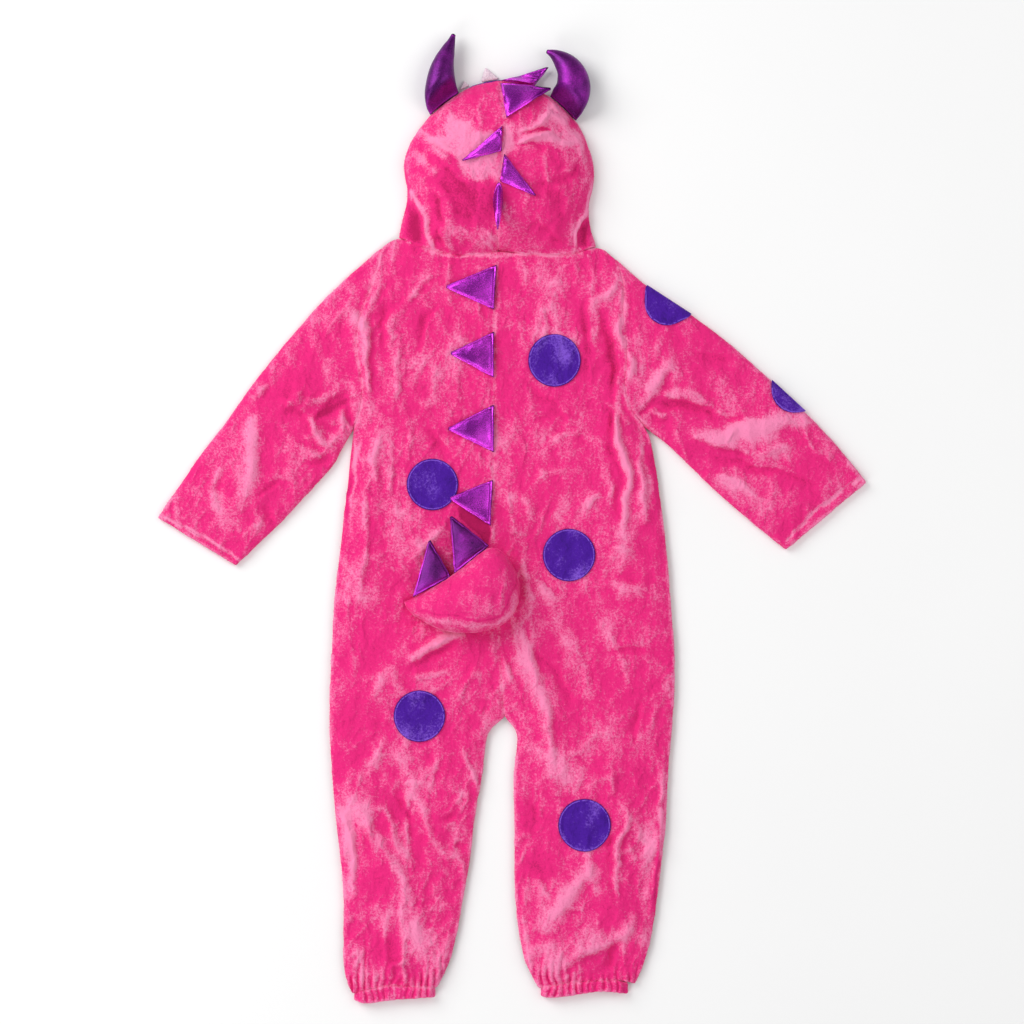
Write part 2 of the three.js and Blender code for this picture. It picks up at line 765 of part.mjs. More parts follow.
SIDE_NAMES.forEach((side) => {
  const shares = rowShares(side);
  const crotch = crotchShare();
  const besideArms = shares.length - ROWS_BESIDE_ARMS - 1;
  const kept = shares.filter((share, index) => index % FRONT_ROW_STEP === 0 || index >= besideArms
    || Math.abs(share - crotch) < CROTCH_ROWS.reach);
  const columns = spaced(FRONT_COLUMNS);
  const places = kept.map((up) => columns.map((across) => panelPlace(side, frontTopY, across, up)));
  const top = places.map((row) => row.map(({ x, y }) => new THREE.Vector3(x, y, LOWER_TOP)));
  const under = places.map((row) => row.map(({ x, y }) => new THREE.Vector3(x, y, 0)));
  addPiece(`front_${side}`, wallBetween(top, under, PINK));
});

// Closed placket inside the front opening
{
  const place = (across, up, z) => new THREE.Vector3(
    lerp(-PLACKET.width / 2, PLACKET.width / 2, across) + seamX(lerp(PLACKET.bottom, PLACKET.top, up)),
    lerp(PLACKET.bottom, PLACKET.top, up),
    z,
  );
  const layer = (z) => spaced(PLACKET.steps).map((up) => [0, 1].map((across) => place(across, up, z)));
  addPiece('front_placket', wallBetween(layer(UPPER_FLOOR + PLACKET.thickness), layer(UPPER_FLOOR), PINK));
}

// Sleeves: one flattened tube each, folded along the overarm and seamed under the arm

function armholeRoute(side) {
  const away = side === 'left' ? -SEAM_GAP : SEAM_GAP;
  const rows = rowShares(side).slice(-ROWS_BESIDE_ARMS - 1).reverse();
  return new Route(rows.map((up) => {
    const { x, y } = panelPlace(side, backTopY, 0, up);
    return { x: x + away, y };
  }));
}

function sleevePlan(side, overarmRows, underarmRows) {
  const armhole = armholeRoute(side);
  const overarm = new Route([armhole.at(0), ...overarmRows]);
  const underarm = new Route([armhole.at(1), ...underarmRows]);
  const cuff = new Route([overarm.at(1), underarm.at(1)]);
  const corner = (along, across) => (along ? cuff : armhole).at(across);
  return {
    armhole,
    place: (along, across) => {
      const straight = overarm.at(along).lerp(underarm.at(along), across);
      const bent = armhole.at(across).lerp(cuff.at(across), along);
      const low = corner(0, 0).lerp(corner(0, 1), across);
      const high = corner(1, 0).lerp(corner(1, 1), across);
      return straight.add(bent).sub(low.lerp(high, along));
    },
  };
}

// Shares across a flattened tube, close together at its two folds.
const FOLD_SHARES = [0, 0.012, 0.045];
// The inside of a sleeve starts a little way in, clear of the armhole's corners.
const INSIDE_START = 0.004;

function addSleeve(side, overarmRows, underarmRows) {
  const { armhole, place } = sleevePlan(side, overarmRows, underarmRows);
  const middle = armhole.lengths.map((length) => length / armhole.total).slice(1, -1);
  const folds = [...FOLD_SHARES, ...FOLD_SHARES.map((share) => 1 - share)]
    .filter((share) => middle.every((other) => Math.abs(share - other) > LEAST_STEP));
  const byFold = FOLD_SHARES[1] * 1.5;
  const across = [...folds, ...middle].sort((first, second) => first - second);
  const stations = spaced(SLEEVE.stations).map((share) => share ** SLEEVE.crowding);
  const widthAt = (along) => place(along, 0).distanceTo(place(along, 1));
  const outer = [];
  const inner = [];
  const topGrid = [];
  stations.forEach((along) => {
    const hem = HEM_EXTRA * smoothStep(SLEEVE.hemFrom, SLEEVE.hemTo, along);
    const inset = WALL / widthAt(along);
    const inside = Math.max(along, INSIDE_START);
    const upper = across.map((share, index) => {
      const { x, y } = place(along, share);
      const isFold = index === 0 || index === across.length - 1;
      return new THREE.Vector3(x, y, isFold ? LOWER_TOP : clothTop(x, y) + hem);
    });
    const lower = across.slice(1, -1).reverse().map((share) => {
      const { x, y } = place(along, share);
      const rounding = share < byFold || share > 1 - byFold ? SLEEVE.foldRound : 0;
      return new THREE.Vector3(x, y, rounding);
    });
    const upperInner = across.map((share, index) => {
      const { x, y } = place(inside, lerp(inset, 1 - inset, share));
      const isFold = index === 0 || index === across.length - 1;
      return new THREE.Vector3(x, y, isFold ? LOWER_TOP + SEAM_GAP / 2 : clothUnder(clothTop(x, y)));
    });
    const lowerInner = across.slice(1, -1).reverse().map((share) => {
      const { x, y } = place(inside, lerp(inset, 1 - inset, share));
      return new THREE.Vector3(x, y, LOWER_TOP);
    });
    topGrid.push(upper);
    outer.push([...upper, ...lower]);
    inner.push([...upperInner, ...lowerInner]);
  });
  backCloth.add(topGrid);
  addPiece(`sleeve_${side}`, wallBetween(outer, inner, PINK, true));
}

addSleeve('left', LEFT_OVERARM, LEFT_UNDERARM);
addSleeve('right', RIGHT_OVERARM, RIGHT_UNDERARM);

// Ankle casings: short flattened tubes, gathered on elastic

const GATHERS = { count: 9, rise: 1.1, top: 9, bulge: 0.8, sideRound: 2.2, sideReach: 0.12 };
const CASING = { down: [0, 0.5, 1], sideIn: 2, middleIn: 1, corner: 0.04, underSteps: 9 };

function addCasing(side) {
  const rows = ANKLES.filter((row) => (side === 'left' ? row.x < 0 : row.x > 0));
  const [low, high] = [rows[0].x + CASING.sideIn, rows[rows.length - 1].x - CASING.middleIn];
  const acrossTop = (share) => lerp(CASING.corner, 1 - CASING.corner, share);
  const upperShares = spaced(GATHERS.count * 2).map(acrossTop);
  const lowerShares = spaced(CASING.underSteps).map((share) => acrossTop(1 - share));
  const ripple = (share) => GATHERS.rise * Math.cos(share * GATHERS.count * 2 * Math.PI);
  const outer = [];
  const inner = [];
  CASING.down.forEach((down) => {
    const place = (share, z, inset) => {
      const x = lerp(low + inset, high - inset, share);
      const seam = ankleSeamY(x) - ANKLE_GAP;
      return new THREE.Vector3(x, lerp(seam, ankleHemY(x), down), z);
    };
    const bulge = GATHERS.top + GATHERS.bulge * Math.sin(Math.PI * down);
    const sideShare = (share) => roundedRise(Math.min(share, 1 - share), GATHERS.sideReach);
    const edgeDrop = (share) => GATHERS.sideRound * (1 - sideShare(share));
    const topZ = (share) => bulge + ripple(share) - edgeDrop(share);
    outer.push([
      place(0, LOWER_TOP, 0),
      ...upperShares.map((share) => place(share, topZ(share), 0)),
      place(1, LOWER_TOP, 0),
      ...lowerShares.map((share) => place(share, 0, 0)),
    ]);
    inner.push([
      place(0, LOWER_TOP + SEAM_GAP / 2, WALL),
      ...upperShares.map((share) => place(share, clothUnder(topZ(share)), WALL)),
      place(1, LOWER_TOP + SEAM_GAP / 2, WALL),
      ...lowerShares.map((share) => place(share, LOWER_TOP, WALL)),
    ]);
  });
  addPiece(`ankle_casing_${side}`, wallBetween(outer, inner, PINK, true));
}

SIDE_NAMES.forEach(addCasing);

// Hood halves: each runs from the centre seam over the top, round the side and under to the face opening

const HOOD_TOP_SHARES = [0, 0.12, 0.28, 0.44, 0.58, 0.7, 0.81, 0.9, 0.96];
const HOOD_UNDER_SHARES = [0.03, 0.12, 0.5, 1];

function hoodCurves(side) {
  const left = side === 'left';
  const outline = new Route(left ? HOOD_LEFT : HOOD_RIGHT).rounded(60);
  const seam = new Route(HOOD_SEAM).rounded(40);
  const face = new Route(left ? FACE_EDGE_LEFT : FACE_EDGE_RIGHT).rounded(30);
  const hemStart = FACE_HEM_START[side];
  const towardSeam = left ? -SEAM_GAP / 2 : SEAM_GAP / 2;
  return {
    seamAt: (up) => seam.at(up).add(new THREE.Vector2(towardSeam, 0)),
    edgeAt: (up) => outline.at(up).add(new THREE.Vector2(up > HOOD_STATIONS.crown ? towardSeam : 0, 0)),
    faceAt: (up) => {
      const edge = outline.at(up);
      const aim = new THREE.Vector2(NECK_MIDDLE.x, edge.y - FACE_HEM.aim);
      const inward = aim.sub(edge).setLength(FACE_HEM.width);
      const hem = edge.clone().add(inward);
      const sewn = face.at(up / hemStart);
      const blend = smoothStep(hemStart - HEM_LIFT_STRETCH, hemStart, up);
      const place = sewn.lerp(hem, blend);
      const crown = new THREE.Vector2(NECK_MIDDLE.x + FACE_HEM.crownShift + towardSeam, hem.y);
      return up > HOOD_STATIONS.crown ? crown : place;
    },
    lift: (up) => UPPER_FLOOR
      * smoothStep(hemStart - 2 * HEM_LIFT_STRETCH, hemStart - HEM_LIFT_STRETCH, up),
  };
}

// At the neck the hood's upper layer follows the back neckline and its lower layer the front one.
function bendToNeck(point, up, neckY) {
  const pull = Math.max(0, 1 - up / HOOD_NECK.bendShare) ** 2;
  return new THREE.Vector2(point.x, lerp(point.y, neckY(point.x) + NECK_GAP, pull));
}

function addHoodHalf(side) {
  const { seamAt, edgeAt, faceAt, lift } = hoodCurves(side);
  const outer = [];
  const inner = [];
  const topGrid = [];
  spaced(HOOD_STATIONS.count).map((share) => share ** HOOD_STATIONS.crowding).forEach((up) => {
    const [seam, edge, face] = [seamAt(up), edgeAt(up), faceAt(up)];
    const raise = lift(up);
    const inset = Math.min(WALL / edge.distanceTo(seam), HOOD_NECK.mostInset);
    const innerEdge = edge.clone().lerp(seam, inset);
    const upper = (end, share, height) => {
      const { x, y } = bendToNeck(seam.clone().lerp(end, share), up, backTopY);
      return new THREE.Vector3(x, y, height(x, y) + raise);
    };
    const lower = (start, share, z) => {
      const { x, y } = bendToNeck(start.clone().lerp(face, share), up, frontNeckY);
      return new THREE.Vector3(x, y, z + raise);
    };
    const top = HOOD_TOP_SHARES.map((share) => upper(edge, share, hoodTop));
    topGrid.push(top);
    outer.push([
      ...top,
      upper(edge, 1, () => HOOD_EDGE.fold),
      ...HOOD_UNDER_SHARES.map((share, index) => lower(edge, share, index === 0 ? HOOD_EDGE.under : 0)),
    ]);
    inner.push([
      ...HOOD_TOP_SHARES.map((share) => upper(innerEdge, share, hoodUnder)),
      upper(innerEdge, 1, () => LOWER_TOP + SEAM_GAP / 2),
      ...HOOD_UNDER_SHARES.map((share) => lower(innerEdge, share, LOWER_TOP)),
    ]);
  });
  hoodCloth.add(topGrid);
  addPiece(`hood_${side}`, wallBetween(outer, inner, PINK));
}

SIDE_NAMES.forEach(addHoodHalf);

// Narrow band round the face opening: up one edge, over the crown and down the other

function bandRoute() {
  const beside = FRONT_BAND.width / 2 + SEAM_GAP * 2;
  const overCrown = (rows) => rows.slice(-3, -1)
    .map(({ x, y }) => ({
      x: x * BAND_CROWN.squeeze + BAND_CROWN.shift,
      y: y - FRONT_BAND.width / 2 + FRONT_BAND.peek,
    }));
  const crown = HOOD_SEAM[HOOD_SEAM.length - 1];
  const start = FRONT_NECK_Y + FRONT_BAND.aboveNeck;
  return new Route([
    ...FACE_EDGE_LEFT.map(({ x, y }) => ({ x: x + beside, y: Math.max(y, start) })),
    ...overCrown(HOOD_LEFT),
    { x: crown.x, y: crown.y + FRONT_BAND.crownPeek },
    ...overCrown(HOOD_RIGHT).reverse(),
    ...[...FACE_EDGE_RIGHT].reverse().map(({ x, y }) => ({ x: x - beside, y: Math.max(y, start) })),
  ]).rounded(120);
}

{
  const route = bandRoute();
  const steps = spaced(BAND_MESH.steps);
  const layer = (z) => steps.map((share) => {
    const along = route.at(share + BAND_MESH.turn).sub(route.at(share - BAND_MESH.turn));
    const across = new THREE.Vector2(-along.y, along.x).setLength(FRONT_BAND.width / 2);
    return [1, -1].map((sign) => {
      const { x, y } = route.at(share).addScaledVector(across, sign);
      return new THREE.Vector3(x, y, z);
    });
  });
  addPiece('hood_front_band', wallBetween(layer(FRONT_BAND.thickness), layer(0), INDIGO));
}

// Flat triangles: teeth and spikes share a plan that runs from the base to a blunt tip

function trianglePlace(row, across, up) {
  const base = new THREE.Vector2(lerp(row.ax, row.bx, across), lerp(row.ay, row.by, across));
  const tip = new THREE.Vector2(row.tipX, row.tipY);
  return base.lerp(tip, up * (1 - BLUNT_TIP));
}

TEETH.forEach((tooth) => {
  const layer = (z) => spaced(TOOTH_STEPS).map((up) => [0, 1].map((across) => {
    const { x, y } = trianglePlace(tooth, across, up);
    return new THREE.Vector3(x, y, z);
  }));
  addPiece(tooth.name, wallBetween(layer(TOOTH_THICKNESS), layer(0), PALE_FELT));
});

const SPIKE_MESH = { across: [0, 0.08, 0.34, 0.66, 0.92, 1], up: [0, 0.08, 0.34, 0.68, 1] };
const SPIKE_TAPER = { tip: 0.6, seam: 0.15, seamStart: 0.05 };

// Half circle over a width that runs from 0 to 1.
function arch(across) {
  return Math.sqrt(Math.max(0, 4 * across * (1 - across)));
}

function spikeBelly(across, up) {
  const seam = roundedRise(up + SPIKE_TAPER.seamStart, SPIKE_TAPER.seam);
  return SPIKE_BELLY * arch(across) * (1 - up) ** SPIKE_TAPER.tip * seam;
}

function flatSpike(row, bottomAt) {
  const under = SPIKE_MESH.up.map((up) => SPIKE_MESH.across.map((across) => {
    const { x, y } = trianglePlace(row, across, up);
    return new THREE.Vector3(x, y, bottomAt(x, y, up));
  }));
  const top = under.map((points, rank) => points.map(({ x, y, z }, order) => {
    const belly = spikeBelly(SPIKE_MESH.across[order], SPIKE_MESH.up[rank]);
    return new THREE.Vector3(x, y, z + SPIKE_EDGE + belly);
  }));
  return { top, under };
}

function addFlatSpike(row, bottomAt) {
  const { top, under } = flatSpike(row, bottomAt);
  addPiece(row.name, wallBetween(top, under, PURPLE_FOIL));
  return top;
}

// A spike is sewn down along its base and clears the cloth's folds further out.
function spikeReach(up) {
  return up === 0 ? CLEARANCE.spikeBase : CLEARANCE.spike;
}

BACK_SPIKES.forEach((spike) => {
  const bottomAt = (x, y, up) => backCloth.above(x, y, spikeReach(up)) + spike.lift * up;
  addFlatSpike(spike, bottomAt);
});

HOOD_SPIKES.forEach((spike) => {
  const bottomAt = (x, y, up) => hoodCloth.above(x, y, spikeReach(up)) + spike.lift * up;
  hoodCloth.add(addFlatSpike(spike, bottomAt));
});

// The lowest hood spike stands on edge along the seam, leaning towards the neck.
const FIN_MESH = { along: [0, 0.15, 0.4, 0.65, 0.88, 1], up: [0, 0.2, 0.45, 0.7, 1], edge: 0.7, taper: 0.7 };
{
  const hoodSeamX = columnCurve(HOOD_SEAM, 'y', 'x');
  const lowEnd = hoodCloth.above(hoodSeamX(HOOD_FIN.baseBottom), HOOD_FIN.baseBottom, CLEARANCE.finCrest);
  const crest = lowEnd + HOOD_FIN.rise;
  const face = (sign) => FIN_MESH.up.map((up) => FIN_MESH.along.map((across) => {
    const baseY = lerp(HOOD_FIN.baseTop, HOOD_FIN.baseBottom, across);
    const y = lerp(baseY, HOOD_FIN.tipY, up * (1 - BLUNT_TIP));
    const foot = hoodCloth.above(hoodSeamX(baseY), baseY, CLEARANCE.finFoot);
    const halfWidth = FIN_MESH.edge + (HOOD_FIN.belly / 2) * arch(across) * (1 - up) ** FIN_MESH.taper;
    return new THREE.Vector3(hoodSeamX(y) + sign * halfWidth, y, lerp(foot, crest, up));
  }));
  addPiece(HOOD_FIN.name, wallBetween(face(1), face(-1), PURPLE_FOIL));
}

// Stuffed tail: an upper and a lower piece that meet along its edges

const TAIL_ACROSS = [0, 0.05, 0.17, 0.38, 0.62, 0.83, 0.95, 1];
{
  const columns = {};
  ['topX', 'topY', 'lowX', 'lowY', 'belly'].forEach((name) => {
    const rows = TAIL.map((row, index) => ({ at: index, value: row[name] }));
    columns[name] = columnCurve(rows, 'at', 'value');
  });
  const stations = spaced(TAIL_BODY.stations).map((share) => share * (TAIL.length - 1));
  const place = (at, across) => new THREE.Vector2(
    lerp(columns.topX(at), columns.lowX(at), across),
    lerp(columns.topY(at), columns.lowY(at), across),
  );
  const grid = (height) => stations.map((at) => TAIL_ACROSS.map((across) => {
    const { x, y } = place(at, across);
    return new THREE.Vector3(x, y, height(x, y, at, across));
  }));
  const middle = (at) => TAIL_BODY.floor + TAIL_BODY.lift * columns.belly(at);
  const half = (at, across) => TAIL_BODY.edge + columns.belly(at) * arch(across);
  const under = grid((x, y, at, across) => {
    const hanging = middle(at) - half(at, across);
    return Math.max(backCloth.above(x, y, CLEARANCE.tail), hanging);
  });
  const above = (offset) => grid((x, y, at) => middle(at) + offset);
  const crest = grid((x, y, at, across) => middle(at) + half(at, across));
  addPiece('tail_under', wallBetween(above(-SEAM_GAP / 2), under, PINK));
  addPiece('tail_top', wallBetween(crest, above(SEAM_GAP / 2), PINK));
  TAIL_SPIKES.forEach((spike) => {
    addFlatSpike(spike, (x, y, up) => {
      const resting = backCloth.above(x, y, CLEARANCE.tailSpike);
      return lerp(Math.max(TAIL_SPIKE_LIFT.base, resting), resting + TAIL_SPIKE_LIFT.tip, up);
    });
  });
}

// Stuffed horns: rounded sections along a bent middle line, sewn flat where they meet the hood's edge

function addHorn(name, rows) {
  const spine = new THREE.CatmullRomCurve3(rows.map(({ x, y, z }) => new THREE.Vector3(x, y, z)));
  const sizes = rows.map((row, index) => ({ at: index, ...row }));
  const halfWidth = columnCurve(sizes, 'at', 'halfWidth');
  const halfHeight = columnCurve(sizes, 'at', 'halfHeight');
  const { around } = HORN;
  const placeAt = (share, side) => {
    const along = spine.getTangent(share);
    const across = new THREE.Vector3(along.y, -along.x, 0).normalize();
    return spine.getPoint(share).addScaledVector(across, halfWidth(share * (rows.length - 1)) * side);
  };
  // Each line along the horn starts where it comes out from the hood.
  const startOf = (side) => {
    let [inside, outside] = [0, HORN.latestStart];
    for (let halving = 0; halving < HORN.halvings; halving += 1) {
      const middle = (inside + outside) / 2;
      const { x, y } = placeAt(middle, side);
      const hidden = isInside(x, y, GARMENT_OUTLINE) || distanceToPath(x, y, GARMENT_OUTLINE) < HORN.offEdge;
      [inside, outside] = hidden ? [middle, outside] : [inside, middle];
    }
    return outside;
  };
  const angles = Array.from({ length: around }, (_, step) => (step / around) * 2 * Math.PI);
  const starts = angles.map((angle) => startOf(Math.cos(angle)));
  const shares = spaced(HORN.stations);
  const positions = shares.flatMap((share) => angles.flatMap((angle, step) => {
    const along = lerp(starts[step], 1, share);
    const point = placeAt(along, Math.cos(angle));
    const rise = point.z + halfHeight(along * (rows.length - 1)) * Math.sin(angle) - HORN.floor;
    const offHood = distanceToPath(point.x, point.y, GARMENT_OUTLINE);
    const plump = lerp(HORN.sewnFlat, 1, smoothStep(0, HORN.plumpReach, offHood));
    return [point.x, point.y, HORN.floor + Math.max(0, rise) * plump];
  }));
  const index = [];
  for (let ring = 0; ring < shares.length - 1; ring += 1) {
    for (let step = 0; step < around; step += 1) {
      const next = (step + 1) % around;
      const [a, b] = [ring * around + step, ring * around + next];
      const [c, d] = [(ring + 1) * around + next, (ring + 1) * around + step];
      index.push(a, b, c, a, c, d);
    }
  }
  // Both ends are closed by strips from upper to lower side, so that the base follows the hood's edge.
  const last = (shares.length - 1) * around;
  for (let step = 0; step < around / 2; step += 1) {
    const [upper, nextUpper] = [step, step + 1];
    const [lower, nextLower] = [(around - step) % around, around - step - 1];
    if (step > 0) {
      index.push(upper, lower, nextUpper, last + upper, last + nextUpper, last + lower);
    }
    if (nextUpper < around / 2) {
      index.push(nextUpper, lower, nextLower, last + nextUpper, last + nextLower, last + lower);
    }
  }
  addPiece(name, closedBody(positions, index, PURPLE_FOIL));
}

addHorn('horn_left', HORN_LEFT);
addHorn('horn_right', HORN_RIGHT);

// Dots

// A square grid pressed into a disc, so that every cell stays open.
function discPlace(across, up) {
  const [x, y] = [2 * across - 1, 2 * up - 1];
  return new THREE.Vector2(x * Math.sqrt(1 - (y * y) / 2), y * Math.sqrt(1 - (x * x) / 2));
}

function addPatch(name, steps, placeAt) {
  const under = steps.map((up) => steps.map((across) => {
    const { x, y } = placeAt(across, up);
    return new THREE.Vector3(x, y, backCloth.above(x, y, CLEARANCE.dot));
  }));
  const top = under.map((row) => row.map(({ x, y, z }) => new THREE.Vector3(x, y, z + APPLIQUE_THICKNESS)));
  addPiece(name, wallBetween(top, under, INDIGO));
}

BODY_DOTS.forEach(({ name, x, y, radius }) => {
  addPatch(name, spaced(DOT.bodySteps), (across, up) => discPlace(across, up).multiplyScalar(radius)
    .add(new THREE.Vector2(x, y)));
});

// On the sleeve the part of the disc past the overarm fold is out of sight.
SLEEVE_DOTS.forEach(({ name, x, y, radius, edgeX, edgeY, endX, endY }) => {
  const edge = new THREE.Vector2(endX - edgeX, endY - edgeY).normalize();
  const inward = new THREE.Vector2(edge.y, -edge.x);
  const centre = new THREE.Vector2(x, y);
  const past = new THREE.Vector2(edgeX, edgeY).sub(centre).dot(inward) + DOT.pastFold;
  const reach = Math.sqrt(radius ** 2 - past ** 2) * DOT.reach;
  addPatch(name, spaced(DOT.sleeveSteps), (across, up) => {
    const along = lerp(-reach, reach, across);
    const far = Math.sqrt(radius ** 2 - along ** 2);
    return centre.clone().addScaledVector(edge, along).addScaledVector(inward, lerp(past, far, up));
  });
});

export default costume;
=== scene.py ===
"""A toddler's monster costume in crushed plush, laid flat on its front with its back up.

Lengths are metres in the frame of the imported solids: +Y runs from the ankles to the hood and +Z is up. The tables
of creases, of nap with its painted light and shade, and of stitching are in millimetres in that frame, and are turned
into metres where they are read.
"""

from __future__ import annotations

import logging
import math
from collections.abc import Sequence
from dataclasses import dataclass, field
from enum import Enum

import bmesh
import bpy
import numpy as np
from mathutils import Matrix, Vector
from mathutils.bvhtree import BVHTree
from mathutils.kdtree import KDTree


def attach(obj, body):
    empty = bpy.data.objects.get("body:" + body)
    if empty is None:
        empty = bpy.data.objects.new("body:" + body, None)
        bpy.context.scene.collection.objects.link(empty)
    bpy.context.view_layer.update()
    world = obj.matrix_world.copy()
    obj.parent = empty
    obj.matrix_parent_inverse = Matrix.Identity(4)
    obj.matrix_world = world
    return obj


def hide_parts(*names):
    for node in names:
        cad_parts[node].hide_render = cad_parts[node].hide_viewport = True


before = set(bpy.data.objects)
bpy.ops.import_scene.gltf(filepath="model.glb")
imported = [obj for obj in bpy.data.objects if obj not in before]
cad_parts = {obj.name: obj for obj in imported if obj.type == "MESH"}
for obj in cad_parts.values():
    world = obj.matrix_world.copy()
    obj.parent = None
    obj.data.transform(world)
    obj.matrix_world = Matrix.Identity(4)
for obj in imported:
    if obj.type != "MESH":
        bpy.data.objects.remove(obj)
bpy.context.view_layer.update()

MM = 0.001
BODY = "root"
Pair = tuple[float, float]
Triple = tuple[float, float, float]
Path = Sequence[Pair]
Socket = bpy.types.NodeSocket
log = logging.getLogger("costume")

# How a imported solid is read: lengths in metres, and angles in radians between neighbouring faces or edges.
WELD_REACH = 1e-6
FLAT_TURN = 0.7
SQUARE_TURN = 3.1
SHARP_TURN = 0.9
CORNER_TURN = 1.9
FACING_DOWN = -0.3
RIM_PITCH = 0.0015

# The section across a crease: a crest on a wider foot, and a hollow along one side, as shares of its height and width.
CREST_SHARE = 0.7
FOOT_SHARE = 0.4
FOOT_SPREAD = 2.8
HOLLOW_SHARE = 0.4
HOLLOW_PLACE = 1.9
STROKE_GAIN = 1.3

# Lines that both a crease and a stroke of nap with painted highlight or a row of stitches follow.
LEFT_HOOD_FOLD: Path = [(-103, 330), (-93, 310), (-86, 297), (-79, 280), (-82, 262)]
RIGHT_HOOD_FOLD: Path = [(84, 345), (78, 322), (71, 303), (63, 280), (64, 262)]
RIGHT_SHOULDER_FOLD: Path = [(102, 249), (113, 236), (110, 185), (118, 157), (112, 124)]
RIGHT_SIDE_FOLD: Path = [(101, 136), (106, 78), (117, 49), (113, 0), (106, -21)]
RIGHT_CALF_FOLD: Path = [(81, -341), (57, -377), (28, -418)]
LEFT_HEM_ROW: Path = [(-346, 3), (-310, -19), (-271, -42)]
RIGHT_HEM_ROW: Path = [(275, -20), (302.5, 9), (347, 43)]


class Keep(Enum):
    """Which faces of a solid the visible cloth is made from."""

    ALL = "all"
    OUTSIDE = "outside"


class Slot(Enum):
    """The record's material slots."""

    PINK = "pink plush"
    INDIGO = "indigo plush"
    FOIL = "purple foil cloth"
    FELT = "pale felt"


def cell_value(cell: np.ndarray, seed: int) -> np.ndarray:
    """Give each whole-number cell its own value.

    Args:
        cell: Whole numbers, one row of three for each point.
        seed: Number that sets this pattern apart from the others.

    Returns:
        A value from 0 to 1 for each row.
    """
    mixed = (cell[:, 0] * 374761393 + cell[:, 1] * 668265263 + cell[:, 2] * 1440662683 + seed * 97531) & 0xFFFFFFFF
    mixed = ((mixed ^ (mixed >> 13)) * 1274126177) & 0xFFFFFFFF
    return ((mixed ^ (mixed >> 16)) & 0xFFFF) / 0xFFFF


def soft_noise(points: np.ndarray, spacing: Sequence[float], seed: int) -> np.ndarray:
    """Read a smooth uneven pattern at each point.

    Args:
        points: Places, one row of three for each.
        spacing: Distance between the pattern's bumps along X, Y and Z.
        seed: Number that sets this pattern apart from the others.

    Returns:
        A value from -1 to 1 for each point.
    """
    scaled = points / np.asarray(spacing)
    cell = np.floor(scaled).astype(np.int64)
    part = scaled - cell
    ease = part * part * (3 - 2 * part)
    total = np.zeros(len(points))
    for corner in np.ndindex(2, 2, 2):
        share = np.prod(np.where(corner, ease, 1 - ease), axis=1)
        total += share * cell_value(cell + np.asarray(corner), seed)
    return 2 * total - 1


def crinkles(points: np.ndarray, spacing: Sequence[float], seed: int, turn: float = 0.0) -> np.ndarray:
    """Read a pattern of narrow crests, as in cloth that was crushed and smoothed out again.

    Args:
        points: Places, one row of three for each.
        spacing: Distance between the crests along X, Y and Z.
        seed: Number that sets this pattern apart from the others.
        turn: Angle by which the pattern is turned in plan.

    Returns:
        A value from -0.15 to 1.05 for each point, highest along the crests.
    """
    bent = points + 0.011 * np.stack([soft_noise(points, (0.045,) * 3, seed + step) for step in (1, 2, 3)], axis=1)
    cosine, sine = math.cos(turn), math.sin(turn)
    turned = np.stack(
        [cosine * bent[:, 0] + sine * bent[:, 1], cosine * bent[:, 1] - sine * bent[:, 0], bent[:, 2]], axis=1
    )
    crest = 1 - np.abs(soft_noise(turned, spacing, seed)) * 1.9
    broken = np.clip(0.6 + 0.9 * soft_noise(points, (0.04,) * 3, seed + 4), 0, 1.2)
    return np.clip(crest, 0, 1) ** 2.2 * broken - 0.15


def solids_tree(names: Sequence[str]) -> BVHTree:
    """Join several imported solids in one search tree.

    Args:
        names: The solids' names.

    Returns:
        The search tree of all their faces.
    """
    points: list[Vector] = []
    faces: list[tuple[int, ...]] = []
    for name in names:
        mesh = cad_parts[name].data
        start = len(points)
        points += [vertex.co.copy() for vertex in mesh.vertices]
        faces += [tuple(start + corner for corner in face.vertices) for face in mesh.polygons]
    return BVHTree.FromPolygons(points, faces)


def smooth_step(value: np.ndarray, low: float, high: float) -> np.ndarray:
    """Rise smoothly from 0 at low to 1 at high."""
    share = np.clip((value - low) / (high - low), 0, 1)
    return share * share * (3 - 2 * share)


def tapered(share: np.ndarray, power: float) -> np.ndarray:
    """Fall from 1 at the middle of a line to 0 at both ends."""
    return np.clip(4 * share * (1 - share), 0, 1) ** power


def path_reach(places: np.ndarray, path: Path) -> tuple[np.ndarray, np.ndarray, np.ndarray]:
    """Measure places against a path.

    Args:
        places: Places in plan, one row of two for each.
        path: The path's points, in millimetres.

    Returns:
        Distance to the path, which side of it, and the share of its length, for each place.
    """
    corners = np.asarray(path, float) * MM
    legs = np.linalg.norm(np.diff(corners, axis=0), axis=1)
    passed = np.concatenate([[0], np.cumsum(legs)])
    distance = np.full(len(places), np.inf)
    side, share = np.zeros(len(places)), np.zeros(len(places))
    for start, end, leg, before in zip(corners[:-1], corners[1:], legs, passed):
        along = (end - start) / leg
        gap = places - start
        reach = np.clip(gap @ along, 0, leg)
        off = gap - reach[:, None] * along
        far = np.linalg.norm(off, axis=1)
        nearer = far < distance
        distance = np.where(nearer, far, distance)
        side = np.where(nearer, np.sign(along[0] * gap[:, 1] - along[1] * gap[:, 0]), side)
        share = np.where(nearer, (before + reach) / passed[-1], share)
    return distance, side, share


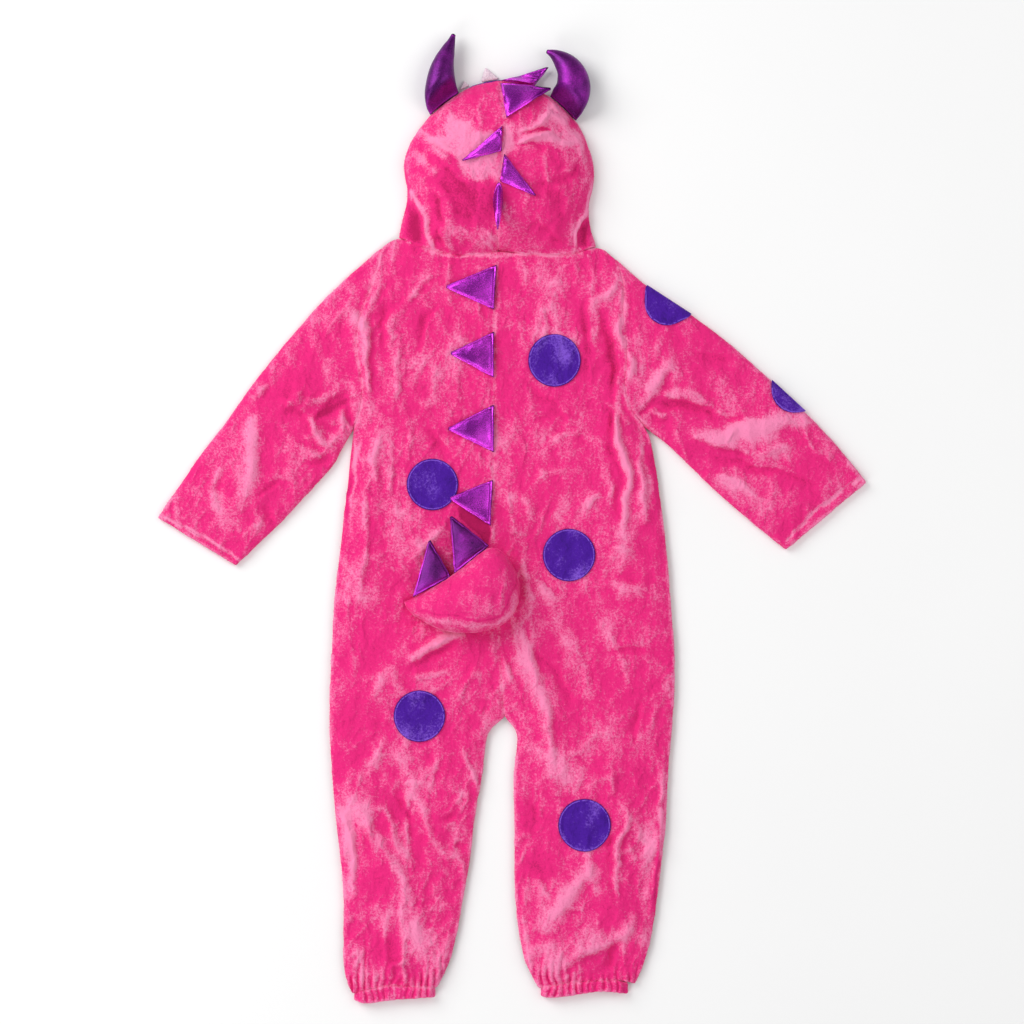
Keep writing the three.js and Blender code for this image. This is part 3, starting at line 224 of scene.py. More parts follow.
@dataclass(frozen=True)
class Crease:
    """A crease: a ridge where its height is positive and a trough where it is negative, in millimetres."""

    height: float
    width: float
    path: Path

    def raised(self, places: np.ndarray) -> np.ndarray:
        """Height added at each place, with a shallow hollow along one side of the crest.

        Args:
            places: Places in plan, one row of two for each.

        Returns:
            The height in metres for each place.
        """
        distance, side, share = path_reach(places, self.path)
        width = self.width * MM
        crest = CREST_SHARE * np.exp(-((distance / width) ** 2))
        crest += FOOT_SHARE * np.exp(-((distance / (FOOT_SPREAD * width)) ** 2))
        hollow = HOLLOW_SHARE * np.exp(-(((distance * side - HOLLOW_PLACE * width) / width) ** 2))
        return self.height * MM * tapered(share, 0.8) * (crest - hollow)


@dataclass(frozen=True)
class NapAndPaintedLightStroke:
    """A stroke of paler nap and painted highlight, or of painted shade where its value is negative."""

    value: float
    width: float
    path: Path

    def shade(self, places: np.ndarray) -> np.ndarray:
        """Nap, painted highlight and painted shade added at each place.

        Args:
            places: Places in plan, one row of two for each.

        Returns:
            The nap for each place.
        """
        distance, _, share = path_reach(places, self.path)
        return STROKE_GAIN * self.value * tapered(share, 0.4) * np.exp(-((distance / (self.width * MM)) ** 2))


@dataclass(frozen=True)
class NapAndPaintedLightPatch:
    """A patch of cloth whose pile was brushed one way, or of painted shadow where its value is negative, with a
    feathered outline.
    """

    value: float
    feather: float
    outline: Path

    def shade(self, places: np.ndarray) -> np.ndarray:
        """Nap and painted shadow added at each place.

        Args:
            places: Places in plan, one row of two for each.

        Returns:
            The nap for each place.
        """
        closed = [*self.outline, self.outline[0]]
        distance, _, _ = path_reach(places, closed)
        corners = np.asarray(closed) * MM
        inside = np.zeros(len(places), bool)
        for start, end in zip(corners[:-1], corners[1:]):
            if start[1] == end[1]:
                continue
            crosses = (start[1] > places[:, 1]) != (end[1] > places[:, 1])
            at = (end[0] - start[0]) * (places[:, 1] - start[1]) / (end[1] - start[1]) + start[0]
            inside ^= crosses & (places[:, 0] < at)
        signed = np.where(inside, distance, -distance)
        return self.value * smooth_step(signed, -self.feather * MM, self.feather * MM)


@dataclass(frozen=True)
class CreasePlan:
    """The creases, and the nap with its painted light and shade, of the whole laid-out garment, the same on every piece
    they cross.
    """

    creases: tuple[Crease, ...] = (
        Crease(1.6, 3.2, [(80, 216), (107, 239)]),
        Crease(2.4, 3.2, RIGHT_SHOULDER_FOLD),
        Crease(-1.6, 3.2, [(74, 228), (76, 180), (74, 136)]),
        Crease(-1.8, 3, [(94, 213), (101, 151), (99, 92)]),
        Crease(2.4, 3.4, RIGHT_SIDE_FOLD),
        Crease(-1.8, 3, [(96, 120), (100, 70), (109, 44), (106, -4)]),
        Crease(1.6, 3, [(131, 79), (129, 47), (136, -7)]),
        Crease(2, 3, [(159, 157), (141, 127), (123, 105)]),
        Crease(-2, 3, [(141, 124), (123, 96)]),
        Crease(1.2, 3, [(99, -28), (124, -35)]),
        Crease(1.4, 3, [(93, -64), (136, -71)]),
        Crease(-1, 2, [(93, -132), (136, -128)]),
        Crease(1.8, 3.6, [(6, -96), (36, -189), (43, -260)]),
        Crease(1.2, 2.8, [(-17, -116), (7, -176)]),
        Crease(1.3, 2.6, [(9, -32), (17, -82)]),
        Crease(1.2, 2.6, [(24, -64), (47, -80)]),
        Crease(1.6, 3, [(-163, 212), (-138, 183)]),
        Crease(2.2, 3.2, [(-160, 206), (-146, 184), (-148, 160), (-143, 127)]),
        Crease(1.5, 2.8, [(-115, 182), (-115, 116)]),
        Crease(-1.5, 2.8, [(-86, 92), (-59, 58)]),
        Crease(1.4, 3, [(-144, 43), (-147, -46), (-154, -73)]),
        Crease(1.8, 3.4, [(-106, -141), (-47, -112)]),
        Crease(-1.6, 2.6, [(-104, -149), (-46, -120)]),
        Crease(1.3, 3, [(-102, -157), (-61, -153)]),
        Crease(1.6, 3, [(-58, -182), (-31, -146)]),
        Crease(1.4, 3, [(-140, -180), (-120, -144)]),
        Crease(1.6, 5, [(-169, -268), (-151, -290), (-130, -328), (-106, -371), (-101, -404)]),
        Crease(1.2, 2.6, [(-172, -276), (-160, -315), (-157, -359), (-155, -394)]),
        Crease(-1.7, 2.8, [(-113, -268), (-99, -309)]),
        Crease(-1.4, 2.6, [(-77, -304), (-52, -292)]),
        Crease(-1.2, 2.6, [(-56, -323), (-42, -329)]),
        Crease(1.8, 2.4, [(-123, -464), (-121, -446), (-109, -440), (-99, -450)]),
        Crease(-1.5, 2.2, [(-143, -444), (-143, -466)]),
        Crease(1.5, 3, [(95, -240), (101, -280)]),
        Crease(1.9, 3.2, [(117, -284), (105, -339), (107, -389)]),
        Crease(-1.6, 2.6, [(111, -290), (99, -340), (101, -385)]),
        Crease(1.4, 7, RIGHT_CALF_FOLD),
        Crease(1.7, 4.4, [(126, -396), (103, -424), (66, -433), (38, -451)]),
        Crease(-0.7, 1.6, LEFT_HEM_ROW),
        Crease(-0.7, 1.6, RIGHT_HEM_ROW),
        Crease(-1.5, 2.6, [(49, -391), (71, -399)]),
        Crease(-1.7, 2.6, [(107, -418), (99, -454)]),
        Crease(1.3, 2.8, [(24, -361), (39, -379)]),
        Crease(-1.3, 2.8, [(29, -268), (20, -315)]),
        Crease(1.2, 2.4, [(154, -230), (148, -330), (138, -414)]),
        Crease(1.3, 6.5, [(-255, 111), (-260, 77), (-262, 46), (-268, 20), (-276, 0)]),
        Crease(-2.2, 2.6, [(-197, 98), (-183, 107), (-170, 113), (-163, 120), (-145, 125)]),
        Crease(1.8, 3.2, [(-201, 102), (-197, 87), (-184, 75), (-168, 82)]),
        Crease(1.7, 2.8, [(-173, 108), (-166, 96), (-157, 88)]),
        Crease(-1.8, 2.4, [(-190, 96), (-180, 90), (-171, 92)]),
        Crease(-1.5, 3, [(-230, 112), (-214, 104), (-206, 94)]),
        Crease(1.4, 3, [(-222, 124), (-204, 116), (-190, 118), (-176, 130)]),
        Crease(-1.2, 3, [(-212, 60), (-196, 58), (-182, 64)]),
        Crease(1.3, 4, [(-286, 60), (-300, 30), (-296, 8)]),
        Crease(-1.2, 4, [(-248, 14), (-240, -6), (-252, -24)]),
        Crease(1.4, 2.8, [(-211, 130), (-227, 104)]),
        Crease(-1.6, 2.6, [(-209, 99), (-201, 83), (-189, 69)]),
        Crease(-2.2, 2.8, [(-188, 107), (-164, 127)]),
        Crease(-1.4, 2.4, [(-162, 115), (-161, 92)]),
        Crease(1.3, 2.6, [(-228, 83), (-191, 64)]),
        Crease(-1.3, 3, [(178, 166), (220, 157)]),
        Crease(-2.0, 3, [(138, 120), (171, 115), (209, 102), (236, 99)]),
        Crease(1.5, 3.4, [(142, 130), (174, 124), (206, 113)]),
        Crease(-1.3, 2.4, [(178, 74), (226, 56), (276, 43), (312, 30)]),
        Crease(1.2, 3, [(196, 46), (226, 36), (252, 20)]),
        Crease(1.6, 2.6, [(134, 112), (150, 104), (164, 108)]),
        Crease(-1.7, 2.2, [(138, 104), (148, 97), (158, 98)]),
        Crease(1.5, 7.5, [(176, 83), (213, 81), (247, 93), (276, 102), (296, 100)]),
        Crease(-1.5, 2.6, [(178, 78), (220, 66), (241, 59)]),
        Crease(1.4, 2.8, [(150, 185), (140, 154)]),
        Crease(1.6, 3, [(159, 162), (134, 124)]),
        Crease(1.2, 2.6, [(28, 214), (33, 190), (22, 168)]),
        Crease(-1.2, 2.6, [(13, 138), (31, 118), (62, 108)]),
        Crease(1.2, 2.6, [(40, 118), (74, 92)]),
        Crease(-1.3, 2.6, [(-70, 214), (-88, 196), (-96, 160)]),
        Crease(1.3, 2.6, [(-98, 96), (-106, 58)]),
        Crease(1.2, 2.6, [(-74, -8), (-92, -34)]),
        Crease(-1.2, 2.6, [(-120, 8), (-128, -42)]),
        Crease(1.3, 2.6, [(70, 10), (88, 26)]),
        Crease(1.2, 2.6, [(-70, -232), (-82, -268)]),
        Crease(1.3, 2.6, [(-128, -216), (-140, -252)]),
        Crease(1.3, 2.6, [(60, -232), (72, -268)]),
        Crease(-1.2, 2.6, [(130, -180), (120, -226)]),
        Crease(1.2, 2.6, [(-242, 136), (-262, 118)]),
        Crease(-1.2, 2.6, [(-232, 40), (-256, 20)]),
        Crease(1.2, 2.6, [(246, 66), (284, 72)]),
        Crease(-1.4, 3, [(-72, 338), (-54, 312), (-34, 292)]),
        Crease(1.4, 3, [(-80, 330), (-66, 300), (-60, 278)]),
        Crease(-1.4, 3, [(40, 334), (60, 344), (70, 360)]),
        Crease(1.3, 2.8, [(3, 372), (24, 380), (44, 384)]),
        Crease(1.2, 2.6, [(6, 384), (28, 394), (42, 408)]),
        Crease(1.3, 2.8, [(-86, 380), (-68, 372), (-56, 356)]),
        Crease(1.2, 2.6, [(-34, 286), (-22, 276), (-18, 268)]),
        Crease(-1.3, 2.8, [(16, 300), (38, 284), (48, 270)]),
        Crease(-1.5, 6, [(-107, 312), (-101, 300), (-96, 284), (-96, 266)]),
        Crease(1.9, 2.0, LEFT_HOOD_FOLD),
        Crease(-1.4, 5, [(82, 318), (78, 300), (73, 282), (74, 262)]),
        Crease(1.9, 2.0, RIGHT_HOOD_FOLD),
        Crease(1.7, 2.6, [(-78, 302), (-68, 288), (-62, 276), (-52, 264)]),
        Crease(-1.6, 3, [(-76, 290), (-70, 278), (-64, 266)]),
        Crease(1.3, 2.6, [(8, 376), (34, 382), (50, 374), (70, 380)]),
        Crease(-1.1, 2.0, [(10, 383), (28, 390), (40, 386)]),
        Crease(-1.0, 2.0, [(6, 370), (20, 374), (34, 366)]),
        Crease(1.4, 2.4, [(20, 396), (40, 403), (58, 396)]),
        Crease(-1.4, 2.4, [(-88, 382), (-74, 374), (-64, 360)]),
        Crease(1.5, 2.4, [(-82, 372), (-70, 364), (-62, 350)]),
        Crease(1.5, 2.8, [(-36, 294), (-20, 284), (-4, 270)]),
        Crease(-1.5, 6, [(-72, 346), (-46, 322), (-30, 298)]),
        Crease(1.3, 5, [(-76, 334), (-62, 310), (-54, 284)]),
        Crease(-1.4, 5, [(-84, 330), (-72, 304), (-68, 280)]),
        Crease(-1.2, 5, [(22, 338), (44, 318), (50, 300)]),
        Crease(1.0, 4, [(56, 392), (66, 372), (72, 352)]),
        Crease(-1.0, 4, [(-96, 374), (-84, 360), (-74, 352)]),
        Crease(1.4, 3, [(-128, 238), (-142, 214), (-150, 190)]),
        Crease(1.2, 3, [(-70, 248), (-92, 236), (-108, 214)]),
        Crease(-1.2, 3, [(-120, 220), (-130, 196), (-128, 170)]),
        Crease(1.2, 3, [(30, 60), (52, 84), (78, 92)]),
        Crease(1.1, 3, [(12, 30), (34, 48), (58, 48)]),
        Crease(-1.1, 3, [(22, 96), (44, 108), (70, 100)]),
        Crease(1.1, 2.6, [(24, -8), (16, 14), (6, 34)]),
        Crease(1.1, 2.6, [(92, 60), (100, 30), (98, 4)]),
        Crease(1.2, 2.8, [(-128, 96), (-136, 60), (-134, 20)]),
        Crease(1.0, 2.6, [(-118, 80), (-122, 40), (-118, 12)]),
        Crease(1.2, 3, [(60, -120), (74, -150), (78, -186)]),
        Crease(1.1, 3, [(96, -110), (112, -140), (116, -176)]),
        Crease(-1.2, 3, [(20, -130), (44, -150), (62, -196)]),
        Crease(1.2, 3, [(-60, -160), (-90, -176), (-120, -176)]),
        Crease(1.1, 3, [(-120, -260), (-96, -262), (-76, -250)]),
    )
    # Strokes with negative values are painted shade in hollows, beside folds and round the tail; the bright ones along
    # fold lines are painted highlight.
    strokes: tuple[NapAndPaintedLightStroke, ...] = (
        NapAndPaintedLightStroke(0.35, 8, [(159, 157), (123, 105)]),
        NapAndPaintedLightStroke(1.1, 9, [(172, 85), (213, 81), (247, 93), (276, 102), (300, 98)]),
        NapAndPaintedLightStroke(0.8, 12, [(200, 38), (232, 28), (262, 10)]),
        NapAndPaintedLightStroke(0.9, 9, [(-255, 108), (-260, 77), (-262, 46), (-268, 20)]),
        NapAndPaintedLightStroke(0.8, 8, [(-294, 30), (-286, 2), (-262, -14), (-246, -2)]),
        NapAndPaintedLightStroke(2.6, 1.5, [(-352, 6), (-310, -19), (-265, -45)]),
        NapAndPaintedLightStroke(2.6, 1.5, [(272, -23), (302.5, 9), (353, 47)]),
        NapAndPaintedLightStroke(-1.5, 3, [(-197, 98), (-183, 107), (-170, 113), (-163, 120)]),
        NapAndPaintedLightStroke(0.8, 7, [(-156, 206), (-144, 188)]),
        NapAndPaintedLightStroke(-0.9, 8, [(-238, 128), (-216, 120), (-200, 104)]),
        NapAndPaintedLightStroke(0.4, 9, [(-106, -141), (-47, -112)]),
        NapAndPaintedLightStroke(0.6, 9, RIGHT_CALF_FOLD),
        NapAndPaintedLightStroke(0.3, 8, [(124, -401), (53, -432), (35, -452)]),
        NapAndPaintedLightStroke(0.3, 7, [(6, -96), (36, -189), (43, -260)]),
        NapAndPaintedLightStroke(0.3, 8, [(-151, -280), (-127, -323), (-105, -371)]),
        NapAndPaintedLightStroke(0.3, 7, [(101, 136), (106, 78), (117, 49)]),
        NapAndPaintedLightStroke(-0.5, 7, [(74, 228), (74, 136)]),
        NapAndPaintedLightStroke(-0.5, 7, [(94, 213), (101, 151), (99, 92)]),
        NapAndPaintedLightStroke(-0.5, 6, [(143, 122), (182, 111), (211, 102)]),
        NapAndPaintedLightStroke(-0.6, 5, [(-188, 107), (-164, 127)]),
        NapAndPaintedLightStroke(-0.4, 6, [(-104, -151), (-46, -122)]),
        NapAndPaintedLightStroke(0.4, 8, [(133, 82), (131, 64)]),
        NapAndPaintedLightStroke(1.2, 1.3, [(-84, 268), (-49, 263), (-7, 264), (22, 265), (64, 266), (88, 269)]),
        NapAndPaintedLightStroke(1.3, 1.4, LEFT_HOOD_FOLD),
        NapAndPaintedLightStroke(1.3, 1.4, RIGHT_HOOD_FOLD),
        NapAndPaintedLightStroke(-1.7, 6, [(-106, 318), (-99, 302), (-92, 288), (-94, 264)]),
        NapAndPaintedLightStroke(-1.6, 4.5, [(84, 322), (79, 300), (74, 284), (74, 262)]),
        NapAndPaintedLightStroke(-1.3, 6, [(-78, 318), (-72, 296), (-68, 276)]),
        NapAndPaintedLightStroke(-1.0, 6, [(50, 306), (44, 290), (46, 274)]),
        NapAndPaintedLightStroke(0.8, 4.5, [(8, 378), (34, 382), (50, 374), (70, 382)]),
        NapAndPaintedLightStroke(1.2, 5, [(25, 402), (44, 410), (60, 400)]),
        NapAndPaintedLightStroke(-0.6, 2.4, [(10, 383), (28, 390), (40, 386)]),
        NapAndPaintedLightStroke(-0.6, 2.4, [(6, 370), (20, 374), (34, 366)]),
        NapAndPaintedLightStroke(1.2, 4, [(-94, 388), (-80, 378), (-70, 368)]),
        NapAndPaintedLightStroke(-1.2, 2.6, [(-78, 362), (-60, 346), (-44, 330)]),
        NapAndPaintedLightStroke(0.7, 2.4, RIGHT_SHOULDER_FOLD),
        NapAndPaintedLightStroke(0.5, 2.4, RIGHT_SIDE_FOLD),
        NapAndPaintedLightStroke(0.6, 2.8, [(-163, 212), (-146, 188), (-148, 160), (-143, 127)]),
        NapAndPaintedLightStroke(0.9, 2.4, [(-153, 95), (-155, 60), (-159, 25), (-164, -15)]),
        NapAndPaintedLightStroke(-1.3, 4, [(-161, 70), (-165, 30), (-169, -5)]),
        NapAndPaintedLightStroke(0.9, 2.4, [(130, 95), (134, 60), (137, 40), (139, 5)]),
        NapAndPaintedLightStroke(-1.3, 4, [(143, 75), (146, 40), (147, 10)]),
        NapAndPaintedLightStroke(0.8, 3, [(-102, -89), (-87, -98), (-62, -104), (-38, -107), (-17, -103), (0, -90), (5, -72)]),
        NapAndPaintedLightStroke(
            -1.5,
            0.9,
            [(-99, -86), (-81, -93), (-56, -99), (-35, -101), (-14, -94), (-1, -81), (5, -66), (3, -48), (-5, -35),
             (-20, -25)],
        ),
        NapAndPaintedLightStroke(1.0, 9, [(-62, -296), (-52, -316), (-48, -336)]),
        NapAndPaintedLightStroke(0.9, 9, [(-104, -404), (-88, -412), (-74, -420)]),
        NapAndPaintedLightStroke(0.9, 7, [(-158, -420), (-150, -446), (-148, -468)]),
        NapAndPaintedLightStroke(0.7, 10, [(40, -226), (52, -250), (58, -276)]),
        NapAndPaintedLightStroke(0.8, 6, [(134, -300), (136, -350), (134, -420)]),
        NapAndPaintedLightStroke(-1.4, 2, [(146, -300), (146, -350), (141, -430)]),
        NapAndPaintedLightStroke(-1.1, 10, [(14, -336), (30, -352), (46, -358)]),
        NapAndPaintedLightStroke(-1.1, 9, [(92, -374), (96, -396), (90, -410)]),
        NapAndPaintedLightStroke(-1.0, 8, [(-128, -420), (-122, -438), (-116, -456)]),
        NapAndPaintedLightStroke(-1.0, 9, [(-140, -300), (-134, -350), (-130, -390)]),
        NapAndPaintedLightStroke(0.9, 7, [(-164, -286), (-160, -330), (-158, -380)]),
    )
    patches: tuple[NapAndPaintedLightPatch, ...] = (
        NapAndPaintedLightPatch(
            1.9,
            4,
            [(-64, 404), (-44, 394), (-34, 385), (-15, 385), (-15, 334), (-24, 341), (-33, 336), (-40, 339), (-52, 352),
             (-70, 368), (-84, 378), (-66, 382)],
        ),
        NapAndPaintedLightPatch(1.4, 4, [(-102, 366), (-86, 368), (-82, 356), (-96, 350)]),
        NapAndPaintedLightPatch(1.8, 3, [(-6, 392), (4, 392), (3, 366), (-8, 362), (-14, 350)]),
        NapAndPaintedLightPatch(1.0, 5, [(5, 390), (20, 400), (42, 405), (64, 390), (66, 380), (42, 380), (22, 367), (4, 370)]),
        # Painted shade in a hollow of the hood.
        NapAndPaintedLightPatch(-0.9, 7, [(-90, 345), (-45, 334), (-15, 330), (-14, 300), (-60, 292), (-86, 318)]),
        # Painted shadow on the back, under a back spike and over a tail spike.
        NapAndPaintedLightPatch(-6.5, 2, [(-56, 8), (-49, 11), (-23, -4), (-22, -12), (-25, -25), (-31, -21), (-44, -6), (-55, 2)]),
    )

    def bent(self, places: np.ndarray) -> np.ndarray:
        """Places shifted a little, so that no crease or stroke runs quite straight.

        Args:
            places: Places in plan, one row of two for each.

        Returns:
            The shifted places.
        """
        flat = np.column_stack([places, np.zeros(len(places))])
        wide = [soft_noise(flat, (0.019,) * 3, seed) for seed in (83, 89)]
        narrow = [soft_noise(flat, (0.0065,) * 3, seed) for seed in (97, 101)]
        return places + 0.0032 * np.column_stack(wide) + 0.0011 * np.column_stack(narrow)

    def raised(self, places: np.ndarray) -> np.ndarray:
        """Height that all the creases add at each place.

        Args:
            places: Places in plan, one row of two for each.

        Returns:
            The height in metres for each place.
        """
        bent = self.bent(places)
        uneven = 1.05 + 0.45 * soft_noise(np.column_stack([places, np.zeros(len(places))]), (0.016,) * 3, 103)
        return uneven * sum(crease.raised(bent) for crease in self.creases)

    def nap_and_painted_light(self, places: np.ndarray) -> np.ndarray:
        """Nap, painted highlight and painted shade that all the strokes and patches add at each place."""
        bent = self.bent(places)
        return sum(mark.shade(bent) for mark in (*self.strokes, *self.patches))


CREASES = CreasePlan()


class ShaderSheet:
    """Short ways to add and join the nodes of one material."""

    def __init__(self, name: str) -> None:
        """Start a material that holds only its output.

        Args:
            name: The material's name.
        """
        self.material = bpy.data.materials.new(name)
        self.material.use_nodes = True
        self.tree = self.material.node_tree
        self.tree.nodes.clear()
        self.shader = self.tree.nodes.new("ShaderNodeBsdfPrincipled")
        output = self.tree.nodes.new("ShaderNodeOutputMaterial")
        self.tree.links.new(self.shader.outputs["BSDF"], output.inputs["Surface"])

    def place(self) -> Socket:
        """The point on the piece, in the piece's own coordinates."""
        return self.tree.nodes.new("ShaderNodeTexCoord").outputs["Object"]

    def attribute(self, name: str) -> Socket:
        """A value that the piece's mesh carries."""
        node = self.tree.nodes.new("ShaderNodeAttribute")
        node.attribute_name = name
        return node.outputs["Fac"]

    def noise(
        self, place: Socket, scale: float, detail: float = 2, rough: float = 0.5, coloured: bool = False
    ) -> Socket:
        """Add an uneven pattern.

        Args:
            place: Where the pattern is read.
            scale: Bumps for each metre.
            detail: Number of finer layers.
            rough: Strength of the finer layers.
            coloured: True for three separate values.

        Returns:
            The pattern's socket.
        """
        node = self.tree.nodes.new("ShaderNodeTexNoise")
        self.tree.links.new(place, node.inputs["Vector"])
        for name, value in (("Scale", scale), ("Detail", detail), ("Roughness", rough)):
            node.inputs[name].default_value = value
        return node.outputs["Color" if coloured else "Fac"]

    def sum(self, *parts: tuple[Socket, float]) -> Socket:
        """Add up sockets.

        Args:
            parts: The sockets, each with the share that it is taken times.

        Returns:
            The sum's socket.
        """
        total = None
        for socket, share in parts:
            node = self.tree.nodes.new("ShaderNodeMath")
            node.operation = "MULTIPLY_ADD"
            self.tree.links.new(socket, node.inputs[0])
            node.inputs[1].default_value = share
            node.inputs[2].default_value = 0
            if total is not None:
                self.tree.links.new(total, node.inputs[2])
            total = node.outputs[0]
        return total

    def warped(
        self, place: Socket, scale: float, amount: float, stretch: Sequence[float]
    ) -> Socket:
        """Bend a place by an uneven pattern and stretch it.

        Args:
            place: The place to bend.
            scale: Bends for each metre.
            amount: How far it is bent, in metres.
            stretch: Factors along X, Y and Z.

        Returns:
            The bent place's socket.
        """
        bend = self.noise(place, scale, coloured=True)
        push = self.tree.nodes.new("ShaderNodeVectorMath")
        push.operation = "MULTIPLY_ADD"
        self.tree.links.new(bend, push.inputs[0])
        push.inputs[1].default_value = (amount,) * 3
        self.tree.links.new(place, push.inputs[2])
        mapping = self.tree.nodes.new("ShaderNodeMapping")
        mapping.inputs["Scale"].default_value = tuple(stretch)
        self.tree.links.new(push.outputs[0], mapping.inputs["Vector"])
        return mapping.outputs["Vector"]

    def rise(self, value: Socket, low: float, high: float, top: float = 1) -> Socket:
        """Rise smoothly with a value.

        Args:
            value: The value's socket.
            low: Where the rise starts, at 0.
            high: Where it ends.
            top: What it ends at.

        Returns:
            The result's socket.
        """
        node = self.tree.nodes.new("ShaderNodeMapRange")
        node.interpolation_type = "SMOOTHSTEP"
        self.tree.links.new(value, node.inputs["Value"])
        for name, number in (("From Min", low), ("From Max", high), ("To Min", 0), ("To Max", top)):
            node.inputs[name].default_value = number
        return node.outputs["Result"]

    def crest(self, value: Socket, width: float) -> Socket:
        """Narrow crests where a pattern crosses its middle.

        Args:
            value: The pattern.
            width: How far from the middle a crest ends.

        Returns:
            The crests' socket, 1 along each line.
        """
        offset = self.tree.nodes.new("ShaderNodeMath")
        offset.operation = "SUBTRACT"
        self.tree.links.new(value, offset.inputs[0])
        offset.inputs[1].default_value = 0.5
        size = self.tree.nodes.new("ShaderNodeMath")
        size.operation = "ABSOLUTE"
        self.tree.links.new(offset.outputs[0], size.inputs[0])
        return self.rise(self.sum((size.outputs[0], -1.0)), -width, 0)

    def mix(self, share: Socket, first: object, second: object) -> Socket:
        """Mix two colours, each a socket or three numbers.

        Args:
            share: Share of the second colour.
            first: The first colour.
            second: The second colour.

        Returns:
            The mixed colour's socket.
        """
        node = self.tree.nodes.new("ShaderNodeMix")
        node.data_type = "RGBA"
        self.tree.links.new(share, node.inputs["Factor"])
        for name, colour in (("A", first), ("B", second)):
            socket = next(s for s in node.inputs if s.name == name and s.type == "RGBA")
            if isinstance(colour, Socket):
                self.tree.links.new(colour, socket)
            else:
                socket.default_value = (*colour, 1)
        return next(s for s in node.outputs if s.type == "RGBA")

    def bump(self, height: Socket, strength: float, distance: float) -> None:
        """Raise the surface a little in its shading.

        Args:
            height: The pattern of heights.
            strength: How strongly it shows, from 0 to 1.
            distance: The height of a full rise, in metres.
        """
        node = self.tree.nodes.new("ShaderNodeBump")
        node.inputs["Strength"].default_value = strength
        node.inputs["Distance"].default_value = distance
        self.tree.links.new(height, node.inputs["Height"])
        self.tree.links.new(node.outputs["Normal"], self.shader.inputs["Normal"])

    def colour(self, socket: Socket) -> None:
        """Colour the surface."""
        self.tree.links.new(socket, self.shader.inputs["Base Color"])

    def rough(self, socket: Socket) -> None:
        """Set the surface's roughness by a pattern."""
        self.tree.links.new(socket, self.shader.inputs["Roughness"])

    def fix(self, **values: object) -> None:
        """Set the shader's own constants, with an underscore for each space in a name."""
        for name, value in values.items():
            self.shader.inputs[name.replace("_", " ")].default_value = value


@dataclass(frozen=True)
class PlushFinish:
    """Short crushed pile: its colour where the nap lies down, stands up and is shaded, with painted shade and highlight
    carried in from the piece's attribute.
    """

    name: str
    deep: Triple
    light: Triple
    shade: Triple
    middle: float = 1.2
    spread: float = 0.46
    light_share: float = 0.92
    bordered: bool = False

    def material(self) -> bpy.types.Material:
        """Make the plush.

        Returns:
            The material.
        """
        sheet = ShaderSheet(self.name)
        place = sheet.place()
        broad = sheet.noise(sheet.warped(place, 20, 0.03, (1.0, 0.6, 1.0)), 26, detail=3, rough=0.6)
        crushed = sheet.noise(sheet.warped(place, 55, 0.014, (1.0, 0.5, 1.0)), 85, detail=5, rough=0.66)
        speckle = sheet.noise(place, 480, detail=2, rough=0.9)
        long_lines = sheet.crest(sheet.noise(sheet.warped(place, 14, 0.05, (1.0, 0.45, 1.0)), 30, detail=2), 0.1)
        short_lines = sheet.crest(sheet.noise(sheet.warped(place, 40, 0.02, (0.8, 0.7, 1.0)), 72, detail=2), 0.13)
        # The nap pattern plus the piece's painted light and shade from its attribute.
        nap_and_painted_light = sheet.sum((broad, 0.6), (crushed, 0.8), (speckle, 1.0), (sheet.attribute("nap_and_painted_light"), 0.22))
        lit = sheet.rise(nap_and_painted_light, self.middle - 0.06, self.middle + self.spread, self.light_share)
        colour = sheet.mix(lit, self.deep, self.light)
        # Painted shade: the shade colour where that sum runs low, as in the creases and hollows.
        dark = sheet.rise(sheet.sum((nap_and_painted_light, -1.0)), 0.14 - self.middle, 0.7 - self.middle, 0.9)
        colour = sheet.mix(dark, colour, self.shade)
        if self.bordered:
            edge = sheet.attribute("edge")
            stitches = sheet.rise(sheet.noise(place, 520, detail=0), 0.25, 0.5)
            ring = sheet.sum((sheet.rise(edge, 1.0, 1.4), 0.8), (sheet.rise(edge, 1.9, 2.4), -0.8))
            colour = sheet.mix(ring, colour, sheet.mix(stitches, self.deep, self.light))
            colour = sheet.mix(sheet.rise(edge, 0.3, 1.1), self.shade, colour)
        sheet.colour(colour)
        relief = sheet.sum((speckle, 0.5), (crushed, 0.9), (long_lines, 0.4), (short_lines, 0.25))
        sheet.bump(relief, 0.75, 0.0028)
        sheet.fix(Roughness=0.85, Specular_IOR_Level=0.18, Sheen_Weight=0.3, Sheen_Roughness=0.4)
        sheet.shader.inputs["Sheen Tint"].default_value = (*self.light, 1)
        return sheet.material


